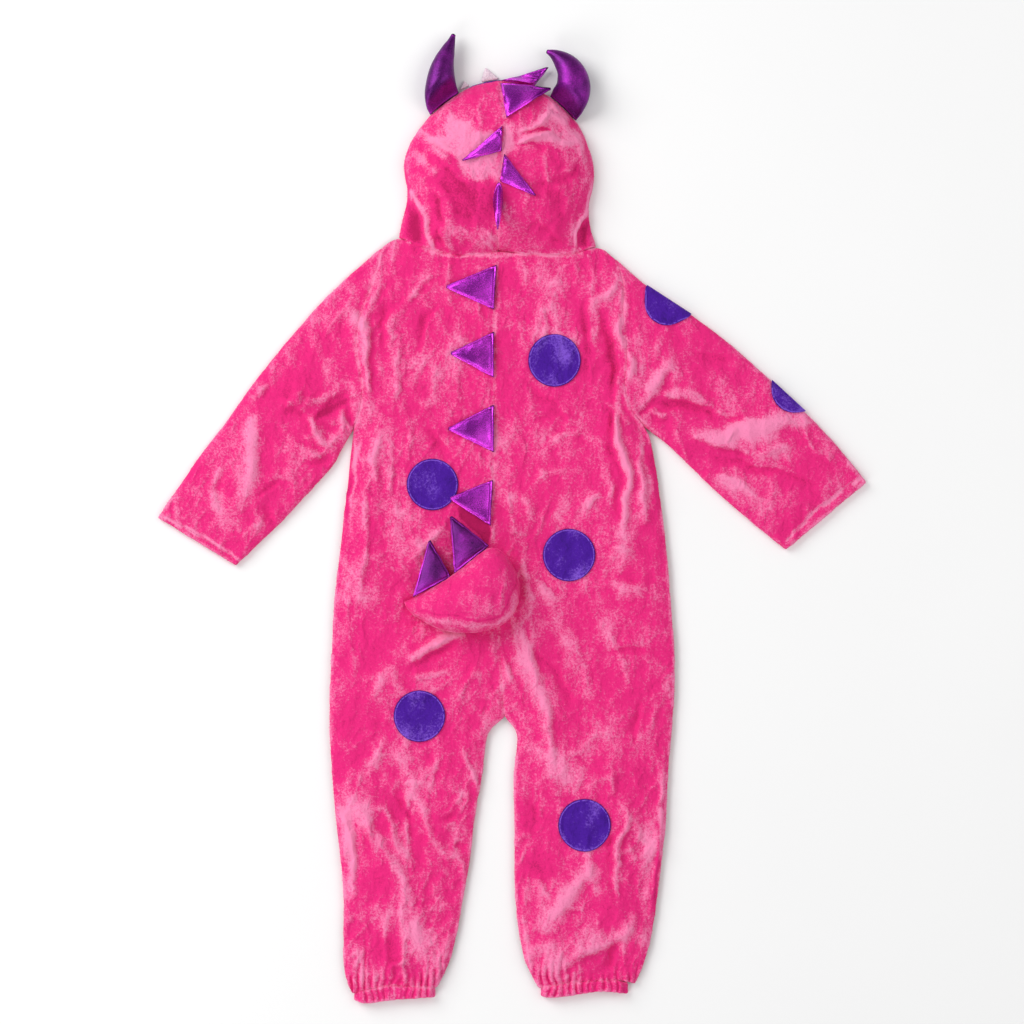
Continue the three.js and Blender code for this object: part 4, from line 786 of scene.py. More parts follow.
@dataclass(frozen=True)
class FoilFinish:
    """Foil-coated cloth: a grainy metallic purple, darker where it is stitched along its edges, with a painted
    highlight on the rolled flange inside the stitching.
    """

    name: str
    deep: Triple
    bright: Triple
    seam: Triple = (0.06, 0.004, 0.09)
    roughness: float = 0.27
    metal: float = 0.75

    def material(self) -> bpy.types.Material:
        """Make the foil.

        Returns:
            The material.
        """
        sheet = ShaderSheet(self.name)
        place = sheet.place()
        grain = sheet.noise(place, 800, detail=2, rough=0.8)
        soft = sheet.noise(sheet.warped(place, 30, 0.02, (1, 1, 1)), 42, detail=2)
        # The piece's attribute carries painted light: brighter across each spike and on its lit flange.
        blend = sheet.rise(sheet.sum((grain, 0.6), (soft, 0.6), (sheet.attribute("nap_and_painted_light"), 0.4)), 0.45, 1.0)
        edge = sheet.attribute("edge")
        colour = sheet.mix(blend, self.deep, self.bright)
        # Painted highlight on the rolled flange just inside the stitched edge.
        painted_roll_highlight = sheet.sum((sheet.rise(edge, 0.7, 1.1), 0.6), (sheet.rise(edge, 1.5, 2.1), -0.6))
        colour = sheet.mix(painted_roll_highlight, colour, self.bright)
        sheet.colour(sheet.mix(sheet.rise(edge, 0.2, 1.1), self.seam, colour))
        sheet.rough(sheet.sum((grain, self.roughness), (soft, self.roughness)))
        sheet.bump(sheet.sum((grain, 1.0), (soft, 0.5)), 0.4, 0.0008)
        sheet.fix(Metallic=self.metal, Specular_IOR_Level=0.5)
        return sheet.material


@dataclass(frozen=True)
class FeltFinish:
    """Plain pale felt."""

    name: str = "pale_felt"
    light: Triple = (0.86, 0.72, 0.79)
    dull: Triple = (0.68, 0.52, 0.62)

    def material(self) -> bpy.types.Material:
        """Make the felt.

        Returns:
            The material.
        """
        sheet = ShaderSheet(self.name)
        place = sheet.place()
        fibres = sheet.noise(place, 650, detail=4, rough=0.7)
        sheet.colour(sheet.mix(sheet.rise(fibres, 0.4, 0.62), self.dull, self.light))
        sheet.bump(fibres, 0.5, 0.0008)
        sheet.fix(Roughness=0.9, Sheen_Weight=0.2)
        return sheet.material


@dataclass(frozen=True)
class ThreadFinish:
    """Sewing thread with a slight twist."""

    name: str = "pink_thread"
    colour: Triple = (0.9, 0.17, 0.4)

    def material(self) -> bpy.types.Material:
        """Make the thread.

        Returns:
            The material.
        """
        sheet = ShaderSheet(self.name)
        twist = sheet.noise(sheet.place(), 1500, detail=1)
        darker = tuple(0.6 * part for part in self.colour)
        sheet.colour(sheet.mix(sheet.rise(twist, 0.35, 0.6), darker, self.colour))
        sheet.bump(twist, 0.4, 0.0003)
        sheet.fix(Roughness=0.6)
        return sheet.material


@dataclass(frozen=True)
class FloorFinish:
    """A plain white paper floor."""

    name: str = "white_floor"

    def material(self) -> bpy.types.Material:
        """Make the paper.

        Returns:
            The material.
        """
        sheet = ShaderSheet(self.name)
        mottle = sheet.noise(sheet.place(), 3, detail=2)
        sheet.colour(sheet.mix(mottle, (0.9, 0.9, 0.9), (0.93, 0.93, 0.93)))
        sheet.fix(Roughness=0.8, Specular_IOR_Level=0.1)
        return sheet.material


@dataclass
class Surface:
    """The finely divided surface of one piece while it is shaped."""

    name: str
    mesh: bpy.types.Mesh
    points: np.ndarray
    rim: np.ndarray
    nap_and_painted_light: np.ndarray = field(default_factory=lambda: np.zeros(0))
    edge: np.ndarray = field(default_factory=lambda: np.zeros(0))
    rim_place: np.ndarray = field(default_factory=lambda: np.zeros(0))

    @classmethod
    def from_solid(
        cls, node: str, levels: int, hold: float, keep: Keep = Keep.ALL, corner_hold: float = 0
    ) -> Surface:
        """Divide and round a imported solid.

        Args:
            node: The solid's name.
            levels: How many times each face is divided in four.
            hold: How firmly the solid's sharp edges are held, from 0 to 1.
            keep: Which of its faces to make.
            corner_hold: How firmly the corners of its sharp edges are held, from 0 to 1.

        Returns:
            The surface, with its distance from the nearest sharp edge known at every point.
        """
        shape = bmesh.new()
        shape.from_mesh(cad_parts[node].data)
        bmesh.ops.remove_doubles(shape, verts=shape.verts[:], dist=WELD_REACH)
        bmesh.ops.join_triangles(
            shape, faces=shape.faces[:], angle_face_threshold=FLAT_TURN, angle_shape_threshold=SQUARE_TURN
        )
        bmesh.ops.recalc_face_normals(shape, faces=shape.faces[:])
        held = shape.edges.layers.float.get("crease_edge") or shape.edges.layers.float.new("crease_edge")
        sharp = [edge for edge in shape.edges if edge.is_manifold and edge.calc_face_angle() > SHARP_TURN]
        if keep is Keep.OUTSIDE:
            inside = [face for face in shape.faces if face.normal.z < FACING_DOWN]
            bmesh.ops.delete(shape, geom=inside, context="FACES")
            sharp = [edge for edge in sharp if edge.is_valid]
        if corner_hold:
            held_corner = shape.verts.layers.float.get("crease_vert") or shape.verts.layers.float.new("crease_vert")
            for vertex in shape.verts:
                ways = [edge.other_vert(vertex).co - vertex.co for edge in vertex.link_edges if edge in sharp]
                if any(one.angle(two) < CORNER_TURN for one in ways for two in ways if one is not two):
                    vertex[held_corner] = corner_hold
        rim = []
        for edge in sharp:
            edge[held] = hold
            start, end = edge.verts[0].co, edge.verts[1].co
            count = max(1, math.ceil((end - start).length / RIM_PITCH))
            rim += [start.lerp(end, step / count) for step in range(count + 1)]
        fine = cls.divided(shape, node, levels)
        points = np.zeros(len(fine.vertices) * 3)
        fine.vertices.foreach_get("co", points)
        surface = cls(node, fine, points.reshape(-1, 3), np.asarray([tuple(place) for place in rim]))
        surface.measure_edges()
        return surface

    @staticmethod
    def divided(shape: bmesh.types.BMesh, node: str, levels: int) -> bpy.types.Mesh:
        """Divide and round a coarse shape, and free it.

        Args:
            shape: The coarse shape, with its held edges and corners marked.
            node: The solid's name.
            levels: How many times each face is divided in four.

        Returns:
            The fine mesh.
        """
        coarse = bpy.data.meshes.new(f"{node}_coarse")
        shape.to_mesh(coarse)
        shape.free()
        carrier = bpy.data.objects.new(f"{node}_coarse", coarse)
        bpy.context.scene.collection.objects.link(carrier)
        divide = carrier.modifiers.new("divide", "SUBSURF")
        divide.levels = divide.render_levels = levels
        divide.boundary_smooth = "PRESERVE_CORNERS"
        fine = bpy.data.meshes.new_from_object(carrier.evaluated_get(bpy.context.evaluated_depsgraph_get()))
        bpy.data.objects.remove(carrier)
        bpy.data.meshes.remove(coarse)
        return fine

    def measure_edges(self) -> None:
        """Find every point's nearest place on the rim and its distance."""
        tree = KDTree(len(self.rim))
        for number, place in enumerate(self.rim):
            tree.insert(place, number)
        tree.balance()
        found = [tree.find(point) for point in self.points]
        self.rim_place = np.asarray([tuple(place) for place, _, _ in found])
        self.edge = np.asarray([distance for _, _, distance in found])

    def settle(self) -> None:
        """Write the points to the mesh, as they are now."""
        self.mesh.vertices.foreach_set("co", self.points.astype(np.float32).ravel())
        self.mesh.update()

    def normals(self) -> np.ndarray:
        """Find the directions straight out of the surface, for the points as they are now.

        Returns:
            One row of three for each point.
        """
        self.settle()
        directions = np.zeros(len(self.points) * 3)
        self.mesh.vertex_normals.foreach_get("vector", directions)
        return directions.reshape(-1, 3)

    def push(self, amount: np.ndarray) -> None:
        """Move every point out of the surface by its own amount."""
        self.points += self.normals() * amount[:, None]

    def tree(self) -> BVHTree:
        """A search tree of the surface as it is now."""
        return BVHTree.FromPolygons(self.points.tolist(), [tuple(face.vertices) for face in self.mesh.polygons])

    def piece(self, name: str, material: bpy.types.Material, slot: Slot, nap_and_painted_light: np.ndarray) -> bpy.types.Object:
        """Turn the surface into a piece that stands for its solid.

        Args:
            name: The piece's name.
            material: What it is made of.
            slot: The record's slot for it; not used.
            nap_and_painted_light: How light the pile lies at each point, with painted light and shade.

        Returns:
            The new piece.
        """
        self.settle()
        for label, values in (("nap_and_painted_light", nap_and_painted_light), ("edge", self.edge / MM)):
            layer = self.mesh.attributes.new(label, "FLOAT", "POINT")
            layer.data.foreach_set("value", np.asarray(values, np.float32))
        self.mesh.materials.clear()
        self.mesh.materials.append(material)
        self.mesh.shade_smooth()
        piece = bpy.data.objects.new(name, self.mesh)
        bpy.context.scene.collection.objects.link(piece)
        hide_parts(self.name)
        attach(piece, BODY)
        log.info("%s: %d points, stands for %s", name, len(self.points), self.name)
        return piece


@dataclass
class LaidCloth:
    """What has been laid out so far, for the pieces and stitches that lie on it."""

    trees: list[BVHTree] = field(default_factory=list)
    surfaces: list[Surface] = field(default_factory=list)

    def add(self, surface: Surface) -> None:
        """Lay out one more surface."""
        self.trees.append(surface.tree())
        self.surfaces.append(surface)

    def height(self, x: float, y: float, fallback: float) -> float:
        """Height of the highest cloth at a place.

        Args:
            x: Place along X.
            y: Place along Y.
            fallback: What to give where there is no cloth.

        Returns:
            The height in metres.
        """
        hits = [tree.ray_cast(Vector((x, y, 0.3)), Vector((0, 0, -1)))[0] for tree in self.trees]
        return max((hit.z for hit in hits if hit is not None), default=fallback)

    def heights(self, places: np.ndarray, fallback: np.ndarray) -> np.ndarray:
        """Heights of the highest cloth at several places."""
        return np.asarray([self.height(x, y, z) for (x, y), z in zip(places[:, :2], fallback)])


@dataclass(frozen=True)
class PlushDressing:
    """How a pink piece is crumpled: the heights of its crinkles, and how far they stay off its edges."""

    coarse: float = 1.7 * MM
    middle: float = 1.0 * MM
    fine: float = 0.25 * MM
    pucker: float = 0.6 * MM
    rim: float = 0.8 * MM
    clear: float = 6 * MM
    creases: float = 1.7
    gather: float = 2.2 * MM
    rumpled_legs: float = 0.55
    gathered_below: float = -0.462
    gather_pitch: float = 6.8 * MM
    coarse_spacing: Triple = (0.021, 0.05, 0.03)
    middle_spacing: Triple = (0.011, 0.026, 0.015)
    small_spacing: Triple = (0.0075, 0.013, 0.012)
    sewn_reach: float = 10 * MM
    sewn_room: float = 0.4 * MM
    depth_above: float = 0.75
    depth_below: float = 0.15
    # Painted light and shade for each millimetre of relief: brighter on crests, darker in hollows.
    shade_by_height: float = 0.55

    def gathers(self, points: np.ndarray) -> np.ndarray:
        """Upright puckers over the elastic at the ankles, each with its own strength and length.

        Args:
            points: Places, one row of three for each.

        Returns:
            A value from -1 in a pucker's trough to 0.5 between two of them, 0 far above the ankles.
        """
        across = points[:, 0] / self.gather_pitch + 0.45 * soft_noise(points, (0.02, 0.012, 0.05), 29)
        cell = np.floor(across)
        cells = np.column_stack([cell, cell * 0, cell * 0]).astype(np.int64)
        reach = 0.006 + 0.026 * cell_value(cells, 31) ** 1.5
        strength = 0.45 + 0.65 * cell_value(cells, 37)
        above = np.clip(points[:, 1] - self.gathered_below, 0, 1)
        trough = np.exp(-(((across - cell - 0.5) / 0.2) ** 2))
        return (0.5 - 1.5 * trough) * strength * np.exp(-((above / reach) ** 2))

    def relief(self, surface: Surface) -> np.ndarray:
        """Height of the crinkles, creases and gathers of a surface.

        Args:
            surface: The surface, before it is crumpled.

        Returns:
            The height in metres at each point, straight out of the surface.
        """
        points = surface.points
        up = np.clip(surface.normals()[:, 2], 0, 1)
        inward = smooth_step(surface.edge, 0, self.clear)
        crest = self.coarse * crinkles(points, self.coarse_spacing, 3, 0.12)
        crest += self.middle * crinkles(points, self.middle_spacing, 11, -0.45)
        crest += 0.5 * self.middle * crinkles(points, self.small_spacing, 61, 0.7)
        crest += self.fine * soft_noise(points, (0.0035,) * 3, 17)
        crest *= 1 + self.rumpled_legs * smooth_step(-points[:, 1], 0.2, 0.3)
        hand = self.creases * CREASES.raised(points[:, :2]) * smooth_step(up, 0.1, 0.5)
        return (crest + hand) * inward + self.gather * self.gathers(points) * up

    def depth(self, surface: Surface) -> np.ndarray:
        """How far in from each point of a surface its next face lies.

        Args:
            surface: The surface, before it is crumpled.

        Returns:
            The distance in metres for each point, and 50 mm where there is nothing.
        """
        tree = surface.tree()
        inward = -surface.normals()
        starts = surface.points + 0.0003 * inward
        found = (tree.ray_cast(start, way, 0.05)[3] for start, way in zip(starts.tolist(), inward.tolist()))
        return np.asarray([0.05 if reach is None else reach for reach in found])

    def dress(self, surface: Surface, above: BVHTree) -> np.ndarray:
        """Crumple a surface and say how its nap lies, with painted light and shade.

        Args:
            surface: The surface to crumple.
            above: What is sewn on it, which the cloth stays under.

        Returns:
            The nap with painted light and shade at each point.
        """
        up = surface.normals()[:, 2]
        relief = self.relief(surface)
        reached = [above.find_nearest(point, self.sewn_reach)[3] for point in surface.points]
        room = np.asarray([self.sewn_reach if gap is None else gap for gap in reached])
        relief = np.minimum(relief, np.maximum(room - self.sewn_room, 0))
        relief = np.maximum(relief, -np.where(up > 0, self.depth_above, self.depth_below) * self.depth(surface))
        wavy = soft_noise(surface.rim_place, (0.006,) * 3, 23)
        near = np.exp(-surface.edge / 0.004)
        surface.push(relief + (self.rim + self.pucker * wavy) * near)
        surface.points[:, 2] = np.maximum(surface.points[:, 2], 0)
        # Painted highlight along every edge and seam of the piece.
        ridge = (1.0 + 1.0 * wavy) * np.exp(-((surface.edge / 0.002) ** 2))
        marks = CREASES.nap_and_painted_light(surface.points[:, :2]) * (up > 0)
        # Nap strokes and patches, the painted edge highlight, and painted light and shade by height.
        surface.nap_and_painted_light = marks + ridge + np.clip(self.shade_by_height * relief / MM, -1.2, 1.3)
        return surface.nap_and_painted_light


PINK = PlushFinish("pink_plush", (0.83, 0.019, 0.205), (0.96, 0.27, 0.5), (0.46, 0.006, 0.095))
INDIGO = PlushFinish(
    "indigo_plush", (0.066, 0.007, 0.31), (0.25, 0.1, 0.68), (0.022, 0.003, 0.12), 1.24, 0.42, 0.85, bordered=True
)
SPIKE_FOIL = FoilFinish("spike_foil", (0.25, 0.009, 0.31), (0.95, 0.065, 0.97))
# A darker copy of the spike foil, as painted shade, for the horns and the tail's spikes.
SHADED_FOIL = FoilFinish("spike_foil_shaded", (0.085, 0.005, 0.115), (0.4, 0.02, 0.45), (0.04, 0.002, 0.06), 0.36, 0.8)
ON_BACK = (
    *(f"back_spike_{number}" for number in range(1, 5)), "tail_top", "tail_under", "tail_spike_1", "tail_spike_2"
)
ON_HOOD = (*(f"hood_spike_{number}" for number in range(1, 6)), "horn_left", "horn_right")


@dataclass
class Body:
    """Back panels, front panels and the placket in the front opening."""

    levels: int = 3
    hold: float = 0.55
    flat_back: Pair = (0.19, 0.76)
    flat_front: Pair = (0.19, 0.76)
    flat_placket: Pair = (0.024, 0.34)
    panel_area: float = 0.118

    def build(self, cloth: LaidCloth, pink: bpy.types.Material) -> None:
        """Lay out the trunk and legs.

        Args:
            cloth: What has been laid out, to which the back is added.
            pink: The pink plush.
        """
        above = solids_tree(ON_BACK)
        for side in ("left", "right"):
            front = Surface.from_solid(f"front_{side}", 1, 0.7)
            piece = front.piece(f"cloth_front_{side}", pink, Slot.PINK, np.zeros(len(front.points)))
            back = Surface.from_solid(f"back_{side}", self.levels, self.hold, Keep.OUTSIDE)
            nap_and_painted_light = PlushDressing().dress(back, above)
            cloth.add(back)
            piece = back.piece(f"cloth_back_{side}", pink, Slot.PINK, nap_and_painted_light)
        placket = Surface.from_solid("front_placket", 1, 0.7)
        piece = placket.piece("cloth_front_placket", pink, Slot.PINK, np.zeros(len(placket.points)))


@dataclass
class Sleeves:
    """Set-in sleeves, each a flattened tube."""

    levels: int = 3
    hold: float = 0.45
    flat: Pair = (0.25, 0.34)
    area: float = 0.06

    def build(self, cloth: LaidCloth, pink: bpy.types.Material) -> None:
        """Lay out both sleeves.

        Args:
            cloth: What has been laid out, to which the sleeves are added.
            pink: The pink plush.
        """
        above = solids_tree(ON_BACK)
        for side in ("left", "right"):
            sleeve = Surface.from_solid(f"sleeve_{side}", self.levels, self.hold)
            nap_and_painted_light = PlushDressing().dress(sleeve, above)
            cloth.add(sleeve)
            piece = sleeve.piece(f"cloth_sleeve_{side}", pink, Slot.PINK, nap_and_painted_light)


@dataclass
class AnkleCasings:
    """Casings gathered on elastic round the ankles."""

    flat: Pair = (0.18, 0.014)

    def build(self, pink: bpy.types.Material) -> None:
        """Gather both casings.

        Args:
            pink: The pink plush.
        """
        dressing = PlushDressing(coarse=0.4 * MM, middle=0.5 * MM, clear=3 * MM, creases=0, gather=1.7 * MM)
        above = solids_tree(ON_BACK)
        for side in ("left", "right"):
            casing = Surface.from_solid(f"ankle_casing_{side}", 3, 0.3)
            piece = casing.piece(f"cloth_ankle_casing_{side}", pink, Slot.PINK, dressing.dress(casing, above))


@dataclass
class Hood:
    """Two hood halves, the band round the face opening and two teeth behind the crown."""

    levels: int = 3
    flat_half: Pair = (0.2, 0.2)
    half_area: float = 0.03
    flat_band: Pair = (0.01, 0.48)
    band_area: float = 0.0034

    def build(
        self, cloth: LaidCloth, pink: bpy.types.Material, indigo: bpy.types.Material, felt: bpy.types.Material
    ) -> None:
        """Sew up the hood.

        Args:
            cloth: What has been laid out, to which the hood is added.
            pink: The pink plush.
            indigo: The indigo plush.
            felt: The pale felt.
        """
        above = solids_tree(ON_HOOD)
        for side in ("left", "right"):
            half = Surface.from_solid(f"hood_{side}", self.levels, 0.45)
            nap_and_painted_light = PlushDressing(coarse=1.3 * MM).dress(half, above)
            cloth.add(half)
            piece = half.piece(f"cloth_hood_{side}", pink, Slot.PINK, nap_and_painted_light)
        band = Surface.from_solid("hood_front_band", 2, 0.4)
        piece = band.piece("cloth_hood_front_band", indigo, Slot.INDIGO, np.zeros(len(band.points)))
        for name in ("tooth_large", "tooth_small"):
            tooth = Surface.from_solid(name, 3, 0.35)
            belly = 0.0006 * smooth_step(tooth.edge, 0, 0.003) + 0.0002 * soft_noise(tooth.points, (0.003,) * 3, 31)
            tooth.push(belly)
            tooth.points[:, 2] = np.maximum(tooth.points[:, 2], 0)
            piece = tooth.piece(f"felt_{name}", felt, Slot.FELT, np.zeros(len(tooth.points)))


@dataclass
class FoilPieces:
    """Stuffed foil spikes and horns, pinched and puckered along their sewn edges."""

    spikes: tuple[str, ...] = (
        *(f"back_spike_{number}" for number in range(1, 5)),
        *(f"hood_spike_{number}" for number in range(1, 6)),
        *(f"tail_spike_{number}" for number in range(1, 3)),
    )
    horns: tuple[tuple[str, Pair], ...] = (
        ("horn_left", (-58.5, 483.5)),
        ("horn_right", (35.5, 467)),
    )
    blunt: float = 1.3 * MM
    flange: float = 1.8 * MM
    # Plan direction and strength of the painted highlight on each spike's flange.
    lit_side: Pair = (-0.75, -0.66)
    shine: float = 2.2
    pucker: float = 0.45 * MM
    pinch: float = 1.1 * MM
    lip: float = 0.4 * MM
    dent: float = 0.6 * MM

    def build(self, foil: bpy.types.Material, shaded_foil: bpy.types.Material) -> None:
        """Stuff every spike and horn.

        Args:
            foil: The spikes' foil.
            shaded_foil: A darker copy of the spike foil, as painted shade, for the horns and the tail's spikes.
        """
        for name in self.spikes:
            self.stuff_spike(name, shaded_foil if name.startswith("tail") else foil)
        for name, tip in self.horns:
            self.stuff_horn(name, tip, shaded_foil)

    def stuff_spike(self, name: str, skin: bpy.types.Material) -> None:
        """Stuff one spike, with a pinched flange round it whose lit side has a painted shine, and painted light across
        it.

        Args:
            name: The spike's solid.
            skin: Its foil.
        """
        spike = Surface.from_solid(name, 3, 0.5, corner_hold=0.7)
        pinch = -self.pinch * np.exp(-(((spike.edge - self.flange) / 0.0009) ** 2))
        pinch += self.lip * np.exp(-(((spike.edge - 0.4 * self.flange) / 0.0006) ** 2))
        folds = self.pucker * soft_noise(spike.rim_place, (0.0045,) * 3, 41) * np.exp(-spike.edge / 0.004)
        dents = self.dent * crinkles(spike.points, (0.011,) * 3, 43) * smooth_step(spike.edge, 0.001, 0.006)
        spike.push(pinch + folds + dents)
        low, high = spike.points.min(axis=0), spike.points.max(axis=0)
        share = (spike.points - low) / (high - low)
        outward = (spike.rim_place - spike.points.mean(axis=0))[:, :2]
        outward /= np.linalg.norm(outward, axis=1)[:, None]
        rolled = np.exp(-(((spike.edge - 0.5 * self.flange) / self.flange) ** 2))
        # Painted light: brighter towards +X and towards -Y across the spike, then a painted highlight on the flange of
        # its lit side.
        nap_and_painted_light = 0.6 * share[:, 0] - 0.5 * share[:, 1] + 0.25 * soft_noise(spike.points, (0.016,) * 3, 71)
        nap_and_painted_light += self.shine * rolled * (outward @ np.asarray(self.lit_side))
        spike.piece(f"foil_{name}", skin, Slot.FOIL, nap_and_painted_light)

    def stuff_horn(self, name: str, tip: Pair, skin: bpy.types.Material) -> None:
        """Stuff one horn, with a blunt tip.

        Args:
            name: The horn's solid.
            tip: Where its tip is in plan, in millimetres.
            skin: Its foil.
        """
        horn = Surface.from_solid(name, 3, 0.9)
        from_tip = np.linalg.norm(horn.points[:, :2] - np.asarray(tip) * MM, axis=1)
        dents = self.dent * crinkles(horn.points, (0.012, 0.018, 0.012), 47)
        horn.push(self.blunt * np.exp(-from_tip / 0.005) + dents)
        horn.piece(f"foil_{name}", skin, Slot.FOIL, np.zeros(len(horn.points)))


@dataclass
class Tail:
    """The stuffed tail, an upper and a lower piece sewn along its edges."""

    def build(self, pink: bpy.types.Material) -> None:
        """Stuff the tail.

        Args:
            pink: The pink plush.
        """
        dressing = PlushDressing(coarse=0.8 * MM, middle=0.5 * MM, clear=8 * MM, creases=0)
        above = solids_tree(("tail_spike_1", "tail_spike_2"))
        for part in ("top", "under"):
            half = Surface.from_solid(f"tail_{part}", 3, 0.4)
            piece = half.piece(f"cloth_tail_{part}", pink, Slot.PINK, dressing.dress(half, above))


@dataclass
class Dots:
    """Round patches with a satin-stitched border, lying on the cloth's own folds."""

    names: tuple[str, ...] = (
        "dot_back_upper",
        "dot_back_left",
        "dot_back_lower",
        "dot_leg_left",
        "dot_leg_right",
        "dot_sleeve_upper",
        "dot_sleeve_lower",
    )
    thickness: float = 1.1 * MM
    gap: float = 0.25 * MM
    border: float = 0.35 * MM
    disc_share: float = 0.78
    cut_share: float = 0.5
    folds: dict[str, tuple[Pair, Pair]] = field(default_factory=lambda: {
        "dot_sleeve_upper": ((132, 234), (201, 189)),
        "dot_sleeve_lower": ((236, 159), (301, 99)),
    })
    past_fold: float = 5.2 * MM
    drawn_within: float = 9.0
    unstitched: float = 9 * MM
    unstitched_within: float = 3.0
    fold_height: float = 3 * MM
    stitched_at: float = 2.2 * MM
    stitched_width: float = 0.9 * MM
    softness: float = 0.12 * MM

    def reach_over(self, dot: Surface, start: Pair, end: Pair) -> None:
        """Draw a cut dot out over the sleeve's overarm fold.

        Args:
            dot: The dot's surface.
            start: One end of the fold beside the dot, in millimetres.
            end: The other end.
        """
        along = np.asarray(end, float) - start
        along /= np.linalg.norm(along)
        outward = np.asarray([-along[1], along[0]])
        inside = np.maximum(-((dot.points[:, :2] / MM - start) @ outward), 0)
        dot.points[:, :2] += np.outer(self.past_fold * np.exp(-inside / self.drawn_within), outward)
        dot.edge = dot.edge + self.unstitched * np.exp(-inside / self.unstitched_within)

    def build(self, cloth: LaidCloth, indigo: bpy.types.Material) -> None:
        """Sew on every dot.

        Args:
            cloth: What has been laid out, which the dots lie on.
            indigo: The indigo plush.
        """
        for name in self.names:
            dot = Surface.from_solid(name, 3, 0.45)
            if name in self.folds:
                self.reach_over(dot, *self.folds[name])
            raised = self.thickness * smooth_step(dot.normals()[:, 2], -0.5, 0.5)
            stitched = self.border * np.exp(-(((dot.edge - self.stitched_at) / self.stitched_width) ** 2))
            soft = self.softness * soft_noise(dot.points, (0.004,) * 3, 53)
            resting = np.full(len(raised), self.fold_height) if name in self.folds else dot.points[:, 2] - raised
            below = cloth.heights(dot.points, resting)
            dot.points[:, 2] = below + self.gap + raised + (stitched + soft) * (raised > 0.0005)
            nap_and_painted_light = 1.5 * soft_noise(dot.points, (0.016, 0.02, 0.02), 59) + 0.8 * crinkles(dot.points, (0.02,) * 3, 67)
            piece = dot.piece(f"cloth_{name}", indigo, Slot.INDIGO, nap_and_painted_light)


@dataclass(frozen=True)
class Pile:
    """Short fibres that stand out along edges and seams, and thinly all over, painted paler than their cloth as a
    painted sheen.
    """

    length: float = 1.9 * MM
    width: float = 0.22 * MM
    edge_count: int = 26000
    field_count: int = 26000
    edge_reach: float = 2.2 * MM
    shown_from: float = -0.25
    stray: float = 0.75
    flattened: float = 0.6
    # Painted sheen: how much paler the fibres are than the cloth they grow from.
    painted_sheen: float = 0.4
    seed: int = 5

    def shown_faces(self, surface: Surface) -> tuple[np.ndarray, ...]:
        """Find the faces of a surface that don't lie on the floor.

        Args:
            surface: A surface of laid-out cloth.

        Returns:
            For each such face three of its corners, its direction, its area, its distance from the edge and its nap
            with painted light and shade.
        """
        normals = surface.normals()
        faces = np.asarray([tuple(face.vertices)[:3] for face in surface.mesh.polygons])
        sizes = np.asarray([face.area for face in surface.mesh.polygons])
        shown = normals[faces[:, 0], 2] > self.shown_from
        first = faces[shown][:, 0]
        return surface.points[faces[shown]], normals[first], sizes[shown], surface.edge[first], surface.nap_and_painted_light[first]

    def grow(self, name: str, cloth: LaidCloth, material: bpy.types.Material) -> None:
        """Grow fibres on the laid-out cloth as one piece.

        Args:
            name: The piece's name.
            cloth: The surfaces that carry the fibres.
            material: What the fibres are made of.
        """
        chance = np.random.default_rng(self.seed)
        shown = [self.shown_faces(surface) for surface in cloth.surfaces]
        root, lean, area, edge, nap_and_painted_light = (np.concatenate(parts) for parts in zip(*shown))
        near = area * (edge < self.edge_reach)
        picked = np.concatenate([
            chance.choice(len(area), self.edge_count, p=near / near.sum()),
            chance.choice(len(area), self.field_count, p=area / area.sum()),
        ])
        shares = chance.dirichlet((1, 1, 1), len(picked))
        foot = np.einsum("ij,ijk->ik", shares, root[picked])
        aim = lean[picked] + self.stray * chance.normal(size=(len(picked), 3))
        aim /= np.linalg.norm(aim, axis=1)[:, None]
        aim[:, 2] = np.abs(aim[:, 2]) * self.flattened + 0.05
        across = np.cross(aim, chance.normal(size=(len(picked), 3)))
        across *= self.width / 2 / np.linalg.norm(across, axis=1)[:, None]
        long = self.length * chance.uniform(0.45, 1, len(picked))[:, None]
        corners = np.stack([foot - across, foot + across, foot + aim * long], axis=1).reshape(-1, 3)
        mesh = bpy.data.meshes.new(name)
        mesh.from_pydata(corners.tolist(), [], np.arange(len(corners)).reshape(-1, 3).tolist())
        layer = mesh.attributes.new("nap_and_painted_light", "FLOAT", "POINT")
        # The fibres carry the cloth's nap and painted light, plus the painted sheen.
        layer.data.foreach_set("value", np.repeat(nap_and_painted_light[picked] + self.painted_sheen, 3).astype(np.float32))
        mesh.materials.append(material)
        piece = bpy.data.objects.new(name, mesh)
        bpy.context.scene.collection.objects.link(piece)
        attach(piece, BODY)
        log.info("%s: %d fibres", name, len(picked))


